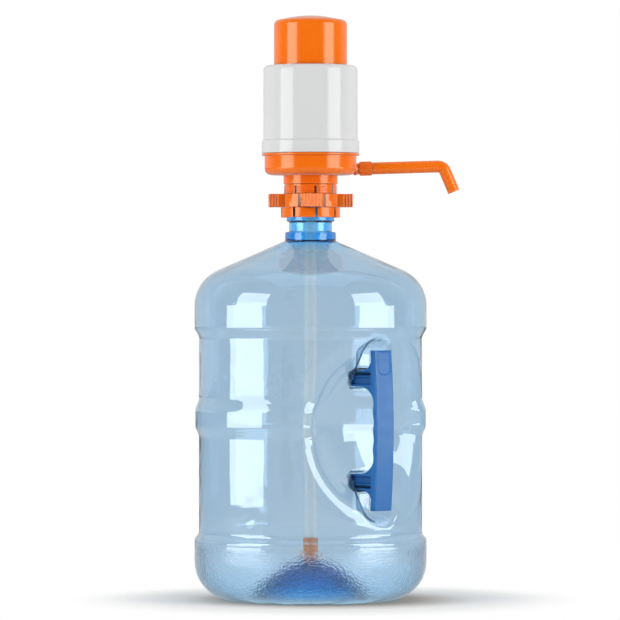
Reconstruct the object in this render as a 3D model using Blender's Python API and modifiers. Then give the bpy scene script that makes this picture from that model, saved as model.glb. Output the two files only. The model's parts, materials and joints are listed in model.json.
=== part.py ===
# Water jug with a hand pump: a five gallon bottle with an inset handle, and a bellows pump on its neck.
# Lengths are in metres and angles in radians. +Z is up, the front looks along -Y and the spout points
# along +X. The origin is on the floor, in the middle of the whole's reach, so the spout's tip and the
# jug's far side are equally far from it. Each driving size is named once and the rest is worked out.

import math

import bmesh
import bpy
from mathutils import Matrix

# Fits and cuts that all pieces share
CLEARANCE = 0.0003
MERGE_DISTANCE = 0.00001
CUT_OVERRUN = 0.003
LARGE_STEPS = 32
SMALL_STEPS = 24

# Jug wall
JUG_RADIUS = 0.135
JUG_WALL = 0.0018
JUG_CORNER_RADIUS = 0.045
FOOT_RING_WIDTH = 0.008
PUNT_HEIGHT = 0.0442
PUNT_MARGIN = 0.011
PUNT_RING_SHARES = (0.95, 0.75, 0.5, 0.25, 0)
BASE_BAND_TOP = 0.071
BASE_BAND_CHAMFER = 0.0065
RECESS_DEPTH = 0.0052
MIDDLE_BAND_INSET = 0.001
MIDDLE_BAND_BOTTOM = 0.2008
MIDDLE_BAND_WIDTH = 0.021
MIDDLE_BAND_LOWER_CHAMFER = 0.0093
MIDDLE_BAND_UPPER_CHAMFER = 0.0116
UPPER_BAND_BOTTOM = 0.3157
UPPER_BAND_CHAMFER = 0.0096
SHOULDER_BOTTOM = 0.342
SHOULDER_CONE_ANGLE = math.radians(23.5)

# Jug neck
NECK_BORE_RADIUS = 0.0224
NECK_BEAD_RADIUS = 0.0296
NECK_BEAD_HEIGHT = 0.0104
NECK_GROOVE_RADIUS = 0.0249
NECK_GROOVE_HEIGHT = 0.012
CROWN_RADIUS = 0.0278
CROWN_HEIGHT = 0.0242
CROWN_CHAMFER = 0.0008

# Handle and its pocket
HANDLE_ANGLE = math.radians(-50)
HANDLE_INSET = 0.0017
GRIP_DEPTH = 0.0483
POCKET_HALF_WIDTH_SHARE = 0.8
POCKET_END_GAP = 0.017
CHANNEL_SIDE_GAP = 0.013
CHANNEL_END_GAP = 0.0153
CHANNEL_BACK_GAP = 0.0303
CHANNEL_CORNER_RADIUS = 0.012
HANDLE_MIDDLE_HEIGHT = 0.1994
HANDLE_HALF_HEIGHT = 0.0917
HANDLE_BOW = 0.0043
BAR_WIDTH = 0.026
BAR_THICKNESS = 0.008
BAR_EDGE_ROUNDING = 0.0014
LEG_WIDTH = 0.02
LEG_END_DROP = 0.0322
LEG_HALF_THICKNESS = 0.0095
LEG_CORNER_RADIUS = 0.007
LEG_CORNER_STEPS = 3
LEG_OUTER_FLARE_LENGTH = 0.016
LEG_INNER_FLARE_LENGTH = 0.026
LEG_INNER_FLARE_HEIGHT = 0.024
LEG_RIM = 0.0025
LEG_WEB = 0.008
LEG_RIB = 0.0018
LEG_UPPER_RECESS_HEIGHT = 0.0035
LEG_RECESS_CORNER_RADIUS = 0.0015

# Neck gasket
GASKET_THICKNESS = 0.003
GASKET_BORE_RADIUS = 0.021

# Collet
COLLET_BORE_RADIUS = 0.0283
COLLET_RADIUS = 0.0305
COLLET_LENGTH = 0.0492
COLLET_SKIRT_RADIUS = 0.0344
COLLET_SKIRT_HEIGHT = 0.0117
COLLET_SPIGOT_WALL = 0.0014
COLLET_BEAD_RADIUS = 0.0312
COLLET_BEAD_HEIGHT = 0.0012
COLLET_SLOT_COUNT = 8
COLLET_SLOT_ANGLE = math.radians(11.25)
COLLET_SLOT_WIDTH = 0.0022
COLLET_SLOT_END_WALL = 0.0016

# Lock ring
RING_RADIUS = 0.0345
RING_HEIGHT = 0.0153
RING_LOBE_COUNT = 4
RING_LOBE_RADIUS = 0.0486
RING_LOBE_HALF_WIDTH = 0.0125
RING_NOTCH_WIDTH = 0.003
RING_NOTCH_RADIUS = 0.0325
RING_GROOVE_DEPTH = 0.0008
RING_FRONT_GROOVES = 7
RING_SIDE_GROOVES = 3
RING_SIDE_GROOVE_PITCH = 0.0034
RING_ARC_STEPS = 4

# Base housing
FLOOR_THICKNESS = 0.0028
BOWL_RADIUS = 0.0535
BOWL_WALL = 0.0025
BOWL_CORNER_RADIUS = 0.0075
BOWL_HEIGHT = 0.0224
RIM_RADIUS = 0.0566
RIM_THICKNESS = 0.0026
BOWL_SPIGOT_HEIGHT = 0.0118
BASE_NECK_WALL = 0.0015
BASE_NECK_LENGTH = 0.0108
SLEEVE_WALL = 0.004
SLEEVE_LENGTH = 0.0266
LEDGE_WIDTH = 0.003
LEDGE_TOP = 0.0145
LEDGE_THICKNESS = 0.0027
RISER_RADIUS = 0.0065
RISER_LENGTH = 0.0162
BARB_LENGTH = 0.02
WATER_BORE_RADIUS = 0.0034
AIR_HOLE_RADIUS = 0.002
AIR_HOLE_CIRCLE = 0.016
AIR_HOLE_COUNT = 5

# Outlet axis and stub; distances run along the axis from the riser
OUTLET_TILT = math.radians(1.7)
OUTLET_RISE = 0.0055
DUCT_RADIUS = 0.0056
STUB_ROOT_RADIUS = 0.0064
THREAD_RADIUS = 0.0069
THREAD_LENGTH = 0.0047
STUB_SPIGOT_RADIUS = 0.0049
STUB_SPIGOT_LENGTH = 0.008

# Spout, its nut and its seal
NUT_STANDOFF = 0.0033
NUT_RADIUS = 0.0082
NUT_LENGTH = 0.0148
NUT_LIP_RADIUS = 0.0065
NUT_RIDGE_COUNT = 18
NUT_RIDGE_HEIGHT = 0.0005
NUT_THREAD_STANDOFF = 0.0005
SPOUT_SEAL_THICKNESS = 0.0016
SPOUT_SEAL_RADIUS = 0.0066
SPOUT_FLANGE_THICKNESS = 0.0018
SPOUT_NECK_RADIUS = 0.0062
SPOUT_RADIUS = 0.007
SPOUT_BORE_RADIUS = 0.0052
SPOUT_REACH = 0.1543
SPOUT_DROP = 0.0322
SPOUT_DROP_ANGLE = math.radians(67)
SPOUT_BEND_RADIUS = 0.009
SPOUT_BEND_STEPS = 6
SPOUT_STEP = 0.00005

# Suction tube and its foot
TUBE_RADIUS = 0.007
TUBE_WALL = 0.0018
TUBE_FOOT_RADIUS = 0.00865
TUBE_FOOT_HEIGHT = 0.0253
TUBE_FOOT_SOCKET_DEPTH = 0.0116
TUBE_FOOT_BORE_RADIUS = 0.005
TUBE_FOOT_CHAMFER = 0.0012
STRAINER_SLOT_WIDTH = 0.0026
STRAINER_SLOT_HEIGHT = 0.005

# Valves
VALVE_PLATE_THICKNESS = 0.0025
VALVE_HOLE_RADIUS = 0.0022
VALVE_HOLE_CIRCLE = 0.012
VALVE_HOLE_COUNT = 6
OUTLET_FLAP_RADIUS = 0.017
INTAKE_FLAP_RADIUS = 0.012
FLAP_THICKNESS = 0.001
FLAP_TRAVEL = 0.001
FLAP_STEM_RADIUS = 0.002
FLAP_HEAD_RADIUS = 0.0034
FLAP_HEAD_THICKNESS = 0.0012
TOP_PLATE_THICKNESS = 0.0025
INTAKE_HOLE_RADIUS = 0.0018
INTAKE_HOLE_CIRCLE = 0.0075
INTAKE_HOLE_COUNT = 4

# Bellows, its ring and the return spring
BELLOWS_LIP_RADIUS = 0.043
BELLOWS_LIP_THICKNESS = 0.002
BELLOWS_FOLD_RADIUS = 0.0385
BELLOWS_BORE_RADIUS = 0.031
BELLOWS_WALL = 0.0012
BELLOWS_TOP_BORE_RADIUS = 0.028
BELLOWS_FOLD_COUNT = 7
BELLOWS_RING_BORE_RADIUS = 0.04
BELLOWS_RING_THICKNESS = 0.003
TOP_PLATE_RADIUS = 0.038
SPRING_RADIUS = 0.024
SPRING_WIRE_RADIUS = 0.001
SPRING_TURNS = 9
SPRING_POINTS_PER_TURN = 9
SPRING_END_PITCH = 0.0027

# White body and its seal
BODY_HEIGHT = 0.1021
BODY_RADIUS = 0.0549
BODY_WALL = 0.0025
BODY_SHOULDER_RADIUS = 0.007
BODY_TOP_THICKNESS = 0.0024
BODY_TOP_BORE_RADIUS = 0.043
BODY_BAND_RADIUS = 0.0568
BODY_BAND_HEIGHT = 0.0154
BODY_SOCKET_DEPTH = 0.014
SEAL_WIDTH = 0.0022

# Press cap
CAP_RADIUS = 0.0426
CAP_WALL = 0.0022
CAP_HEIGHT = 0.0667
CAP_CORNER_RADIUS = 0.006
CAP_DOME_RISE = 0.0051
CAP_DOME_RING_SHARES = (0, 0.35, 0.7)
CAP_FLANGE_RADIUS = 0.0518
CAP_FLANGE_THICKNESS = 0.006
CAP_BOSS_RADIUS = 0.017
CAP_BOSS_WALL = 0.003
CAP_BOSS_END_DROP = 0.0078
CAP_BOSS_NOTCH_COUNT = 4
CAP_BOSS_NOTCH_WIDTH = 0.004
CAP_BOSS_NOTCH_DEPTH = 0.0025

# Colours, linear RGB
ORANGE = (0.9, 0.17, 0.008)
WHITE = (0.83, 0.83, 0.83)
CLEAR_BLUE = (0.36, 0.56, 0.78)
DEEP_BLUE = (0.05, 0.17, 0.5)
MILKY = (0.8, 0.83, 0.85)
RUBBER = (0.03, 0.03, 0.035)
STEEL = (0.55, 0.56, 0.58)

# Places of the handle and its pocket, from the jug's skin inwards
HANDLE_FRONT_RADIUS = JUG_RADIUS - HANDLE_INSET
BAR_BACK_RADIUS = HANDLE_FRONT_RADIUS - BAR_THICKNESS
POCKET_FLOOR_RADIUS = BAR_BACK_RADIUS - GRIP_DEPTH
CHANNEL_FLOOR_RADIUS = BAR_BACK_RADIUS - CHANNEL_BACK_GAP
LEG_END_RADIUS = POCKET_FLOOR_RADIUS + CLEARANCE
LEG_MIDDLE_OFFSET = HANDLE_HALF_HEIGHT - LEG_END_DROP
POCKET_DEPTH = JUG_RADIUS - POCKET_FLOOR_RADIUS
POCKET_HALF_WIDTH = JUG_RADIUS * POCKET_HALF_WIDTH_SHARE
POCKET_HALF_HEIGHT = LEG_MIDDLE_OFFSET + LEG_HALF_THICKNESS + POCKET_END_GAP
CHANNEL_HALF_WIDTH = BAR_WIDTH / 2 + CHANNEL_SIDE_GAP
CHANNEL_HALF_HEIGHT = HANDLE_HALF_HEIGHT + CHANNEL_END_GAP

# Radii under the jug and heights on it, from the shoulder up to the mouth
SHOULDER_CENTRE_RADIUS = JUG_RADIUS - JUG_CORNER_RADIUS
FOOT_RING_BORE_RADIUS = SHOULDER_CENTRE_RADIUS - FOOT_RING_WIDTH
PUNT_RADIUS = FOOT_RING_BORE_RADIUS - PUNT_MARGIN
SHOULDER_END_ANGLE = math.pi / 2 - SHOULDER_CONE_ANGLE
SHOULDER_END_RADIUS = SHOULDER_CENTRE_RADIUS + JUG_CORNER_RADIUS * math.cos(SHOULDER_END_ANGLE)
SHOULDER_END_HEIGHT = SHOULDER_BOTTOM + JUG_CORNER_RADIUS * math.sin(SHOULDER_END_ANGLE)
NECK_BOTTOM = SHOULDER_END_HEIGHT + (SHOULDER_END_RADIUS - NECK_BEAD_RADIUS) * math.tan(SHOULDER_CONE_ANGLE)
CROWN_BOTTOM = NECK_BOTTOM + NECK_BEAD_HEIGHT + NECK_GROOVE_HEIGHT
MOUTH_HEIGHT = CROWN_BOTTOM + CROWN_HEIGHT

# Heights of the pump's pieces, from the mouth up
GASKET_BOTTOM = MOUTH_HEIGHT + CLEARANCE
BASE_HEIGHT = GASKET_BOTTOM + GASKET_THICKNESS + CLEARANCE + SLEEVE_LENGTH
COLLET_BOTTOM = BASE_HEIGHT - CLEARANCE - COLLET_LENGTH
RING_BOTTOM = COLLET_BOTTOM + COLLET_SKIRT_HEIGHT + CLEARANCE
RIM_TOP = BOWL_HEIGHT + RIM_THICKNESS
BOWL_SPIGOT_TOP = RIM_TOP + BOWL_SPIGOT_HEIGHT
BOWL_BORE_RADIUS = BOWL_RADIUS - BOWL_WALL
VALVE_PLATE_BOTTOM = BASE_HEIGHT + LEDGE_TOP + CLEARANCE
VALVE_PLATE_TOP = VALVE_PLATE_BOTTOM + VALVE_PLATE_THICKNESS
BELLOWS_BOTTOM = VALVE_PLATE_TOP + CLEARANCE
BELLOWS_RING_BOTTOM = BELLOWS_BOTTOM + BELLOWS_LIP_THICKNESS + CLEARANCE
BODY_BOTTOM = BASE_HEIGHT + RIM_TOP + CLEARANCE
CAP_BOTTOM = BODY_BOTTOM + BODY_HEIGHT - BODY_TOP_THICKNESS - CLEARANCE - CAP_FLANGE_THICKNESS
CAP_TOP = CAP_BOTTOM + CAP_HEIGHT
TOP_PLATE_TOP = CAP_TOP - CAP_BOSS_END_DROP - CLEARANCE
TOP_PLATE_BOTTOM = TOP_PLATE_TOP - TOP_PLATE_THICKNESS
BELLOWS_HEIGHT = TOP_PLATE_BOTTOM - CLEARANCE - BELLOWS_BOTTOM

# Places along the outlet axis
OUTLET_HEIGHT = BASE_HEIGHT + OUTLET_RISE
NUT_START = BOWL_RADIUS + NUT_STANDOFF
THREAD_START = NUT_START + NUT_THREAD_STANDOFF
THREAD_END = THREAD_START + THREAD_LENGTH
SPOUT_SEAL_START = THREAD_END + CLEARANCE
SPOUT_START = SPOUT_SEAL_START + SPOUT_SEAL_THICKNESS + CLEARANCE
NUT_LIP_START = SPOUT_START + SPOUT_FLANGE_THICKNESS + CLEARANCE
NUT_END = NUT_START + NUT_LENGTH
SPOUT_TUBE_START = NUT_END + CLEARANCE
SPOUT_END_X = SPOUT_REACH * math.cos(OUTLET_TILT) + SPOUT_DROP * math.cos(SPOUT_DROP_ANGLE)
SPOUT_TIP_X = SPOUT_END_X + SPOUT_RADIUS * math.sin(SPOUT_DROP_ANGLE)
JUG_AXIS_X = (JUG_RADIUS - SPOUT_TIP_X) / 2

# Places in the jug for the tube and its foot
TUBE_FOOT_BOTTOM = PUNT_HEIGHT + JUG_WALL + CLEARANCE
TUBE_BOTTOM = TUBE_FOOT_BOTTOM + TUBE_FOOT_HEIGHT - TUBE_FOOT_SOCKET_DEPTH + CLEARANCE
TUBE_TOP = BASE_HEIGHT - RISER_LENGTH - CLEARANCE


def make_collection(name):
    collection = bpy.data.collections.new(name)
    bpy.context.scene.collection.children.link(collection)
    return collection


def clear_scene():
    for obj in list(bpy.data.objects):
        bpy.data.objects.remove(obj, do_unlink=True)


clear_scene()
PARTS = make_collection("Water jug pump")
CUTTERS = make_collection("Cutters")


def add_part(name, data):
    obj = bpy.data.objects.new(name, data)
    PARTS.objects.link(obj)
    return obj


def add_cutter(name, data):
    obj = bpy.data.objects.new(name, data)
    CUTTERS.objects.link(obj)
    obj.hide_render = True
    obj.display_type = "WIRE"
    return obj


def finish(obj, colour, roughness, metallic=0, alpha=1):
    material = bpy.data.materials.new(obj.name)
    material.use_nodes = True
    shader = material.node_tree.nodes["Principled BSDF"]
    shader.inputs["Base Color"].default_value = (*colour, 1)
    shader.inputs["Roughness"].default_value = roughness
    shader.inputs["Metallic"].default_value = metallic
    shader.inputs["Alpha"].default_value = alpha
    obj.data.materials.append(material)
    return obj


def arc(centre, radii, start, end, steps):
    # Points on an ellipse's arc, both ends included.
    points = []
    for index in range(steps + 1):
        angle = start + (end - start) * index / steps
        points.append((centre[0] + radii[0] * math.cos(angle), centre[1] + radii[1] * math.sin(angle)))
    return points


def round_arc(centre, radius, start, end, steps):
    return arc(centre, (radius, radius), math.radians(start), math.radians(end), steps)


def ring_profile(outer, inner, height):
    return [(outer, height), (outer, 0), (inner, 0), (inner, height)]


def turned_mesh(name, profile, closed):
    edges = [(index, index + 1) for index in range(len(profile) - 1)]
    if closed:
        edges.append((len(profile) - 1, 0))
    mesh = bpy.data.meshes.new(name)
    mesh.from_pydata([(radius, 0, height) for radius, height in profile], edges, [])
    return mesh


def turn(obj, steps):
    # The profile runs down the outer side, so that the turned faces point outwards.
    screw = obj.modifiers.new("Turn", "SCREW")
    screw.steps = steps
    screw.render_steps = steps
    screw.use_merge_vertices = True
    screw.merge_threshold = MERGE_DISTANCE
    screw.use_smooth_shade = True
    return obj


def turned_part(name, profile, height=0, steps=LARGE_STEPS, closed=True):
    obj = turn(add_part(name, turned_mesh(name, profile, closed)), steps)
    obj.location.z = height
    return obj


def turned_cutter(name, profile, height=0, steps=LARGE_STEPS, closed=True):
    obj = turn(add_cutter(name, turned_mesh(name, profile, closed)), steps)
    obj.location.z = height
    return obj


def combine(target, tool, operation="DIFFERENCE"):
    modifier = target.modifiers.new(tool.name, "BOOLEAN")
    modifier.operation = operation
    modifier.solver = "EXACT"
    modifier.object = tool


def rods(name, radius, length, sides, matrices):
    # One cutter made of equal cylinders, each centred at its matrix.
    tool = bmesh.new()
    for matrix in matrices:
        bmesh.ops.create_cone(tool, cap_ends=True, segments=sides, radius1=radius, radius2=radius,
                              depth=length, matrix=matrix)
    mesh = bpy.data.meshes.new(name)
    tool.to_mesh(mesh)
    tool.free()
    return add_cutter(name, mesh)


def blocks(name, size, matrices):
    # One cutter made of equal boxes, each centred at its matrix.
    tool = bmesh.new()
    for matrix in matrices:
        bmesh.ops.create_cube(tool, size=1, matrix=matrix @ Matrix.Diagonal((*size, 1)))
    mesh = bpy.data.meshes.new(name)
    tool.to_mesh(mesh)
    tool.free()
    return add_cutter(name, mesh)


def around(radius, height, count, first=0.0):
    # Places evenly round the Z axis, each with its local X pointing outwards.
    places = []
    for index in range(count):
        turn_by = Matrix.Rotation(first + math.tau * index / count, 4, "Z")
        places.append(turn_by @ Matrix.Translation((radius, 0, height)))
    return places


def outline_curve(name, outlines, thickness):
    # A flat outline, or an outline with holes, filled and given its thickness about its own plane.
    curve = bpy.data.curves.new(name, "CURVE")
    curve.dimensions = "2D"
    curve.fill_mode = "BOTH"
    curve.extrude = thickness / 2
    for points in outlines:
        spline = curve.splines.new("POLY")
        spline.points.add(len(points) - 1)
        spline.use_cyclic_u = True
        for point, (across, along) in zip(spline.points, points):
            point.co = (across, along, 0, 1)
    return curve


def tube_curve(name, points, radius, sides_quarter, shares=None):
    # A round bar along the points; shares give each point's radius as a share of the bar's.
    curve = bpy.data.curves.new(name, "CURVE")
    curve.dimensions = "3D"
    curve.bevel_depth = radius
    curve.bevel_resolution = sides_quarter
    curve.use_fill_caps = True
    spline = curve.splines.new("POLY")
    spline.points.add(len(points) - 1)
    for index, place in enumerate(points):
        spline.points[index].co = (*place, 1)
        spline.points[index].radius = shares[index] if shares else 1
    return curve


def as_mesh(curve_object, add):
    # The curve's solid as a mesh in its place, with its caps welded on.
    bpy.context.view_layer.update()
    evaluated = curve_object.evaluated_get(bpy.context.evaluated_depsgraph_get())
    mesh = bpy.data.meshes.new_from_object(evaluated)
    weld = bmesh.new()
    weld.from_mesh(mesh)
    bmesh.ops.remove_doubles(weld, verts=weld.verts, dist=MERGE_DISTANCE)
    bmesh.ops.recalc_face_normals(weld, faces=weld.faces)
    weld.to_mesh(mesh)
    weld.free()
    place = curve_object.matrix_world.copy()
    name = curve_object.name
    bpy.data.objects.remove(curve_object, do_unlink=True)
    obj = add(name, mesh)
    obj.matrix_world = place
    return obj


def outline_part(name, outlines, thickness, place):
    obj = add_part(name, outline_curve(name, outlines, thickness))
    obj.matrix_world = place
    return obj


def outline_cutter(name, outlines, thickness, place):
    obj = add_cutter(name, outline_curve(name, outlines, thickness))
    obj.matrix_world = place
    return as_mesh(obj, add_cutter)


def rounded_rectangle(low, high, corner, steps=2):
    left, bottom = low[0] + corner, low[1] + corner
    right, top = high[0] - corner, high[1] - corner
    points = round_arc((right, top), corner, 0, 90, steps)
    points += round_arc((left, top), corner, 90, 180, steps)
    points += round_arc((left, bottom), corner, 180, 270, steps)
    points += round_arc((right, bottom), corner, 270, 360, steps)
    return points


def jug_wall_line(inset):
    # The jug's line from the shoulder down to the middle of the punt, moved inwards by the inset.
    corner = JUG_CORNER_RADIUS - inset
    radius = JUG_RADIUS - inset
    recess = radius - RECESS_DEPTH
    middle = radius - MIDDLE_BAND_INSET
    middle_top = MIDDLE_BAND_BOTTOM + MIDDLE_BAND_WIDTH
    line = arc((SHOULDER_CENTRE_RADIUS, SHOULDER_BOTTOM), (corner, corner), SHOULDER_END_ANGLE, 0, 5)
    line += [
        (radius, UPPER_BAND_BOTTOM),
        (recess, UPPER_BAND_BOTTOM - UPPER_BAND_CHAMFER),
        (recess, middle_top + MIDDLE_BAND_UPPER_CHAMFER),
        (middle, middle_top),
        (middle, MIDDLE_BAND_BOTTOM),
        (recess, MIDDLE_BAND_BOTTOM - MIDDLE_BAND_LOWER_CHAMFER),
        (recess, BASE_BAND_TOP + BASE_BAND_CHAMFER),
        (radius, BASE_BAND_TOP),
    ]
    line += arc((SHOULDER_CENTRE_RADIUS, JUG_CORNER_RADIUS), (corner, corner), 0, -math.pi / 2, 6)
    line.append((FOOT_RING_BORE_RADIUS, inset))
    for share in PUNT_RING_SHARES:
        line.append((share * PUNT_RADIUS, PUNT_HEIGHT * (1 - share * share) + inset))
    return line


def jug_void():
    # The space inside the jug, with the pocket and the leg sockets standing into it.
    line = jug_wall_line(JUG_WALL)
    slope_start = line[0]
    bore_bottom = slope_start[1] + (slope_start[0] - NECK_BORE_RADIUS) * math.tan(SHOULDER_CONE_ANGLE)
    top = MOUTH_HEIGHT + CUT_OVERRUN
    profile = [(0, top), (NECK_BORE_RADIUS, top), (NECK_BORE_RADIUS, bore_bottom)] + line
    void = turned_cutter("jug_void", profile, closed=False)
    for tool in pocket_tools("void", JUG_WALL):
        combine(void, tool)
    return void


def handle_place(radius, height):
    return Matrix.Rotation(HANDLE_ANGLE, 4, "Z") @ Matrix.Translation((radius, 0, height))


def pocket_tools(use, wall):
    # The hand pocket, the handle's channel and the two leg sockets, grown by the wall.
    hollow = bmesh.new()
    size = (POCKET_DEPTH + wall, POCKET_HALF_WIDTH + wall, POCKET_HALF_HEIGHT + wall, 1)
    bmesh.ops.create_uvsphere(hollow, u_segments=24, v_segments=14, radius=1, matrix=Matrix.Diagonal(size))
    mesh = bpy.data.meshes.new("pocket_" + use)
    hollow.to_mesh(mesh)
    hollow.free()
    pocket = add_cutter("pocket_" + use, mesh)
    pocket.matrix_world = handle_place(JUG_RADIUS, HANDLE_MIDDLE_HEIGHT)

    half_width = CHANNEL_HALF_WIDTH + wall
    half_height = CHANNEL_HALF_HEIGHT + wall
    outline = rounded_rectangle((-half_width, -half_height), (half_width, half_height),
                                CHANNEL_CORNER_RADIUS + wall, 3)
    depth = 2 * (JUG_RADIUS + CUT_OVERRUN - CHANNEL_FLOOR_RADIUS + wall)
    facing = Matrix(((0, 0, 1, 0), (1, 0, 0, 0), (0, 1, 0, 0), (0, 0, 0, 1)))
    place = handle_place(CHANNEL_FLOOR_RADIUS - wall + depth / 2, HANDLE_MIDDLE_HEIGHT) @ facing
    channel = outline_cutter("channel_" + use, [outline], depth, place)

    grow = wall + CLEARANCE
    half_leg = LEG_HALF_THICKNESS + grow
    sockets = []
    for side, end in ((1, "upper"), (-1, "lower")):
        outline = rounded_rectangle((LEG_END_RADIUS - grow, -half_leg), (JUG_RADIUS, half_leg),
                                    LEG_CORNER_RADIUS + grow, LEG_CORNER_STEPS)
        place = handle_place(0, HANDLE_MIDDLE_HEIGHT + side * LEG_MIDDLE_OFFSET) @ upright()
        sockets.append(outline_cutter(end + "_socket_" + use, [outline], LEG_WIDTH + 2 * grow, place))
    return [pocket, channel] + sockets


def upright():
    # Stands a flat outline up: its X stays outwards and its Y becomes the height.
    return Matrix.Rotation(math.pi / 2, 4, "X")


def jug_shell():
    crown = CROWN_RADIUS - CROWN_CHAMFER
    bead_top = NECK_BOTTOM + NECK_BEAD_HEIGHT
    profile = [
        (0, MOUTH_HEIGHT),
        (crown, MOUTH_HEIGHT),
        (CROWN_RADIUS, MOUTH_HEIGHT - CROWN_CHAMFER),
        (CROWN_RADIUS, CROWN_BOTTOM + CROWN_CHAMFER),
        (NECK_GROOVE_RADIUS, CROWN_BOTTOM),
        (NECK_GROOVE_RADIUS, bead_top + CROWN_CHAMFER),
        (NECK_BEAD_RADIUS, bead_top),
        (NECK_BEAD_RADIUS, NECK_BOTTOM),
    ] + jug_wall_line(0)
    jug = turned_part("jug_shell", profile, closed=False)
    for tool in pocket_tools("skin", 0):
        combine(jug, tool)
    combine(jug, jug_void())
    return finish(jug, CLEAR_BLUE, 0.08, alpha=0.4)


def bar_front(height):
    # The bar bows outwards in the middle of its height.
    share = height / HANDLE_HALF_HEIGHT
    return HANDLE_FRONT_RADIUS - HANDLE_BOW * share * share


def leg_line(side):
    # One leg's outline, from the bar's end round the leg to the bar's back, closed inside the bar.
    leg_top = LEG_MIDDLE_OFFSET + LEG_HALF_THICKNESS
    leg_bottom = LEG_MIDDLE_OFFSET - LEG_HALF_THICKNESS
    bar_end = HANDLE_HALF_HEIGHT - BAR_EDGE_ROUNDING
    back_end = bar_front(bar_end) - BAR_THICKNESS
    inner_end = leg_bottom - LEG_INNER_FLARE_HEIGHT
    back_inner = bar_front(inner_end) - BAR_THICKNESS
    corner = LEG_END_RADIUS + LEG_CORNER_RADIUS
    points = [(bar_front(bar_end) - BAR_THICKNESS / 2, bar_end)]
    points += arc((back_end - LEG_OUTER_FLARE_LENGTH, bar_end), (LEG_OUTER_FLARE_LENGTH, bar_end - leg_top),
                  0, -math.pi / 2, 4)
    points += round_arc((corner, leg_top - LEG_CORNER_RADIUS), LEG_CORNER_RADIUS, 90, 180, LEG_CORNER_STEPS)
    points += round_arc((corner, leg_bottom + LEG_CORNER_RADIUS), LEG_CORNER_RADIUS, 180, 270,
                        LEG_CORNER_STEPS)
    points += arc((back_inner - LEG_INNER_FLARE_LENGTH, inner_end),
                  (LEG_INNER_FLARE_LENGTH, LEG_INNER_FLARE_HEIGHT), math.pi / 2, 0, 4)
    points.append((back_inner + BAR_THICKNESS / 2, inner_end))
    return [(radius, side * height) for radius, height in points]


def leg_recesses():
    # Hollows in both sides of both legs, parted by a rib, that leave a rim and a web.
    slot_low = LEG_END_RADIUS + LEG_RIM
    slot_high = HANDLE_FRONT_RADIUS - HANDLE_BOW - BAR_THICKNESS - LEG_RIM
    outer_high = LEG_HALF_THICKNESS - LEG_RIM
    outer_low = outer_high - LEG_UPPER_RECESS_HEIGHT
    inner_high = outer_low - LEG_RIB
    inner_low = LEG_RIM - LEG_HALF_THICKNESS
    depth = (LEG_WIDTH - LEG_WEB) / 2 + CUT_OVERRUN
    tools = []
    for side, end in ((1, "upper"), (-1, "lower")):
        for face, hand in ((1, "left"), (-1, "right")):
            shift = Matrix.Translation((0, face * (LEG_WEB + depth) / 2, side * LEG_MIDDLE_OFFSET))
            place = handle_place(0, HANDLE_MIDDLE_HEIGHT) @ shift @ upright()
            for low, high, row in ((outer_low, outer_high, "outer"), (inner_low, inner_high, "inner")):
                heights = sorted((side * low, side * high))
                outline = rounded_rectangle((slot_low, heights[0]), (slot_high, heights[1]),
                                            LEG_RECESS_CORNER_RADIUS, 1)
                tools.append(outline_cutter(end + "_" + hand + "_" + row, [outline], depth, place))
    return tools


def jug_handle():
    heights = [HANDLE_HALF_HEIGHT * index / 4 for index in range(-4, 5)]
    outline = [(bar_front(height), height) for height in heights]
    outline += [(bar_front(height) - BAR_THICKNESS, height) for height in reversed(heights)]
    place = handle_place(0, HANDLE_MIDDLE_HEIGHT) @ upright()
    bar = as_mesh(outline_part("jug_handle", [outline], BAR_WIDTH, place), add_part)
    edges = bar.modifiers.new("Round edges", "BEVEL")
    edges.width = BAR_EDGE_ROUNDING
    edges.segments = 2
    edges.limit_method = "ANGLE"
    legs = outline_cutter("handle_legs", [leg_line(1), leg_line(-1)], LEG_WIDTH, place)
    for tool in leg_recesses():
        combine(legs, tool)
    combine(bar, legs, "UNION")
    return finish(bar, DEEP_BLUE, 0.3)


def neck_gasket():
    outer = COLLET_BORE_RADIUS - CLEARANCE
    profile = ring_profile(outer, GASKET_BORE_RADIUS, GASKET_THICKNESS)
    return finish(turned_part("neck_gasket", profile, GASKET_BOTTOM), RUBBER, 0.7)


def collet():
    spigot = COLLET_BORE_RADIUS + COLLET_SPIGOT_WALL
    spigot_bottom = COLLET_LENGTH - BASE_NECK_LENGTH
    bead_bottom = COLLET_SKIRT_HEIGHT + 2 * CLEARANCE + RING_HEIGHT
    profile = [
        (spigot, COLLET_LENGTH),
        (spigot, spigot_bottom),
        (COLLET_RADIUS, spigot_bottom),
        (COLLET_RADIUS, bead_bottom + COLLET_BEAD_HEIGHT),
        (COLLET_BEAD_RADIUS, bead_bottom + COLLET_BEAD_HEIGHT / 2),
        (COLLET_RADIUS, bead_bottom),
        (COLLET_RADIUS, COLLET_SKIRT_HEIGHT),
        (COLLET_SKIRT_RADIUS, COLLET_SKIRT_HEIGHT),
        (COLLET_SKIRT_RADIUS, 0),
        (COLLET_BORE_RADIUS, 0),
        (COLLET_BORE_RADIUS, COLLET_LENGTH),
    ]
    obj = turned_part("collet", profile, COLLET_BOTTOM)
    slot_top = spigot_bottom - COLLET_SLOT_END_WALL
    size = (2 * (COLLET_SKIRT_RADIUS - COLLET_BORE_RADIUS), COLLET_SLOT_WIDTH, slot_top + CUT_OVERRUN)
    places = around((COLLET_BORE_RADIUS + COLLET_SKIRT_RADIUS) / 2,
                    COLLET_BOTTOM + (slot_top - CUT_OVERRUN) / 2, COLLET_SLOT_COUNT, COLLET_SLOT_ANGLE)
    combine(obj, blocks("collet_slots", size, places))
    return finish(obj, ORANGE, 0.3)


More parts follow.
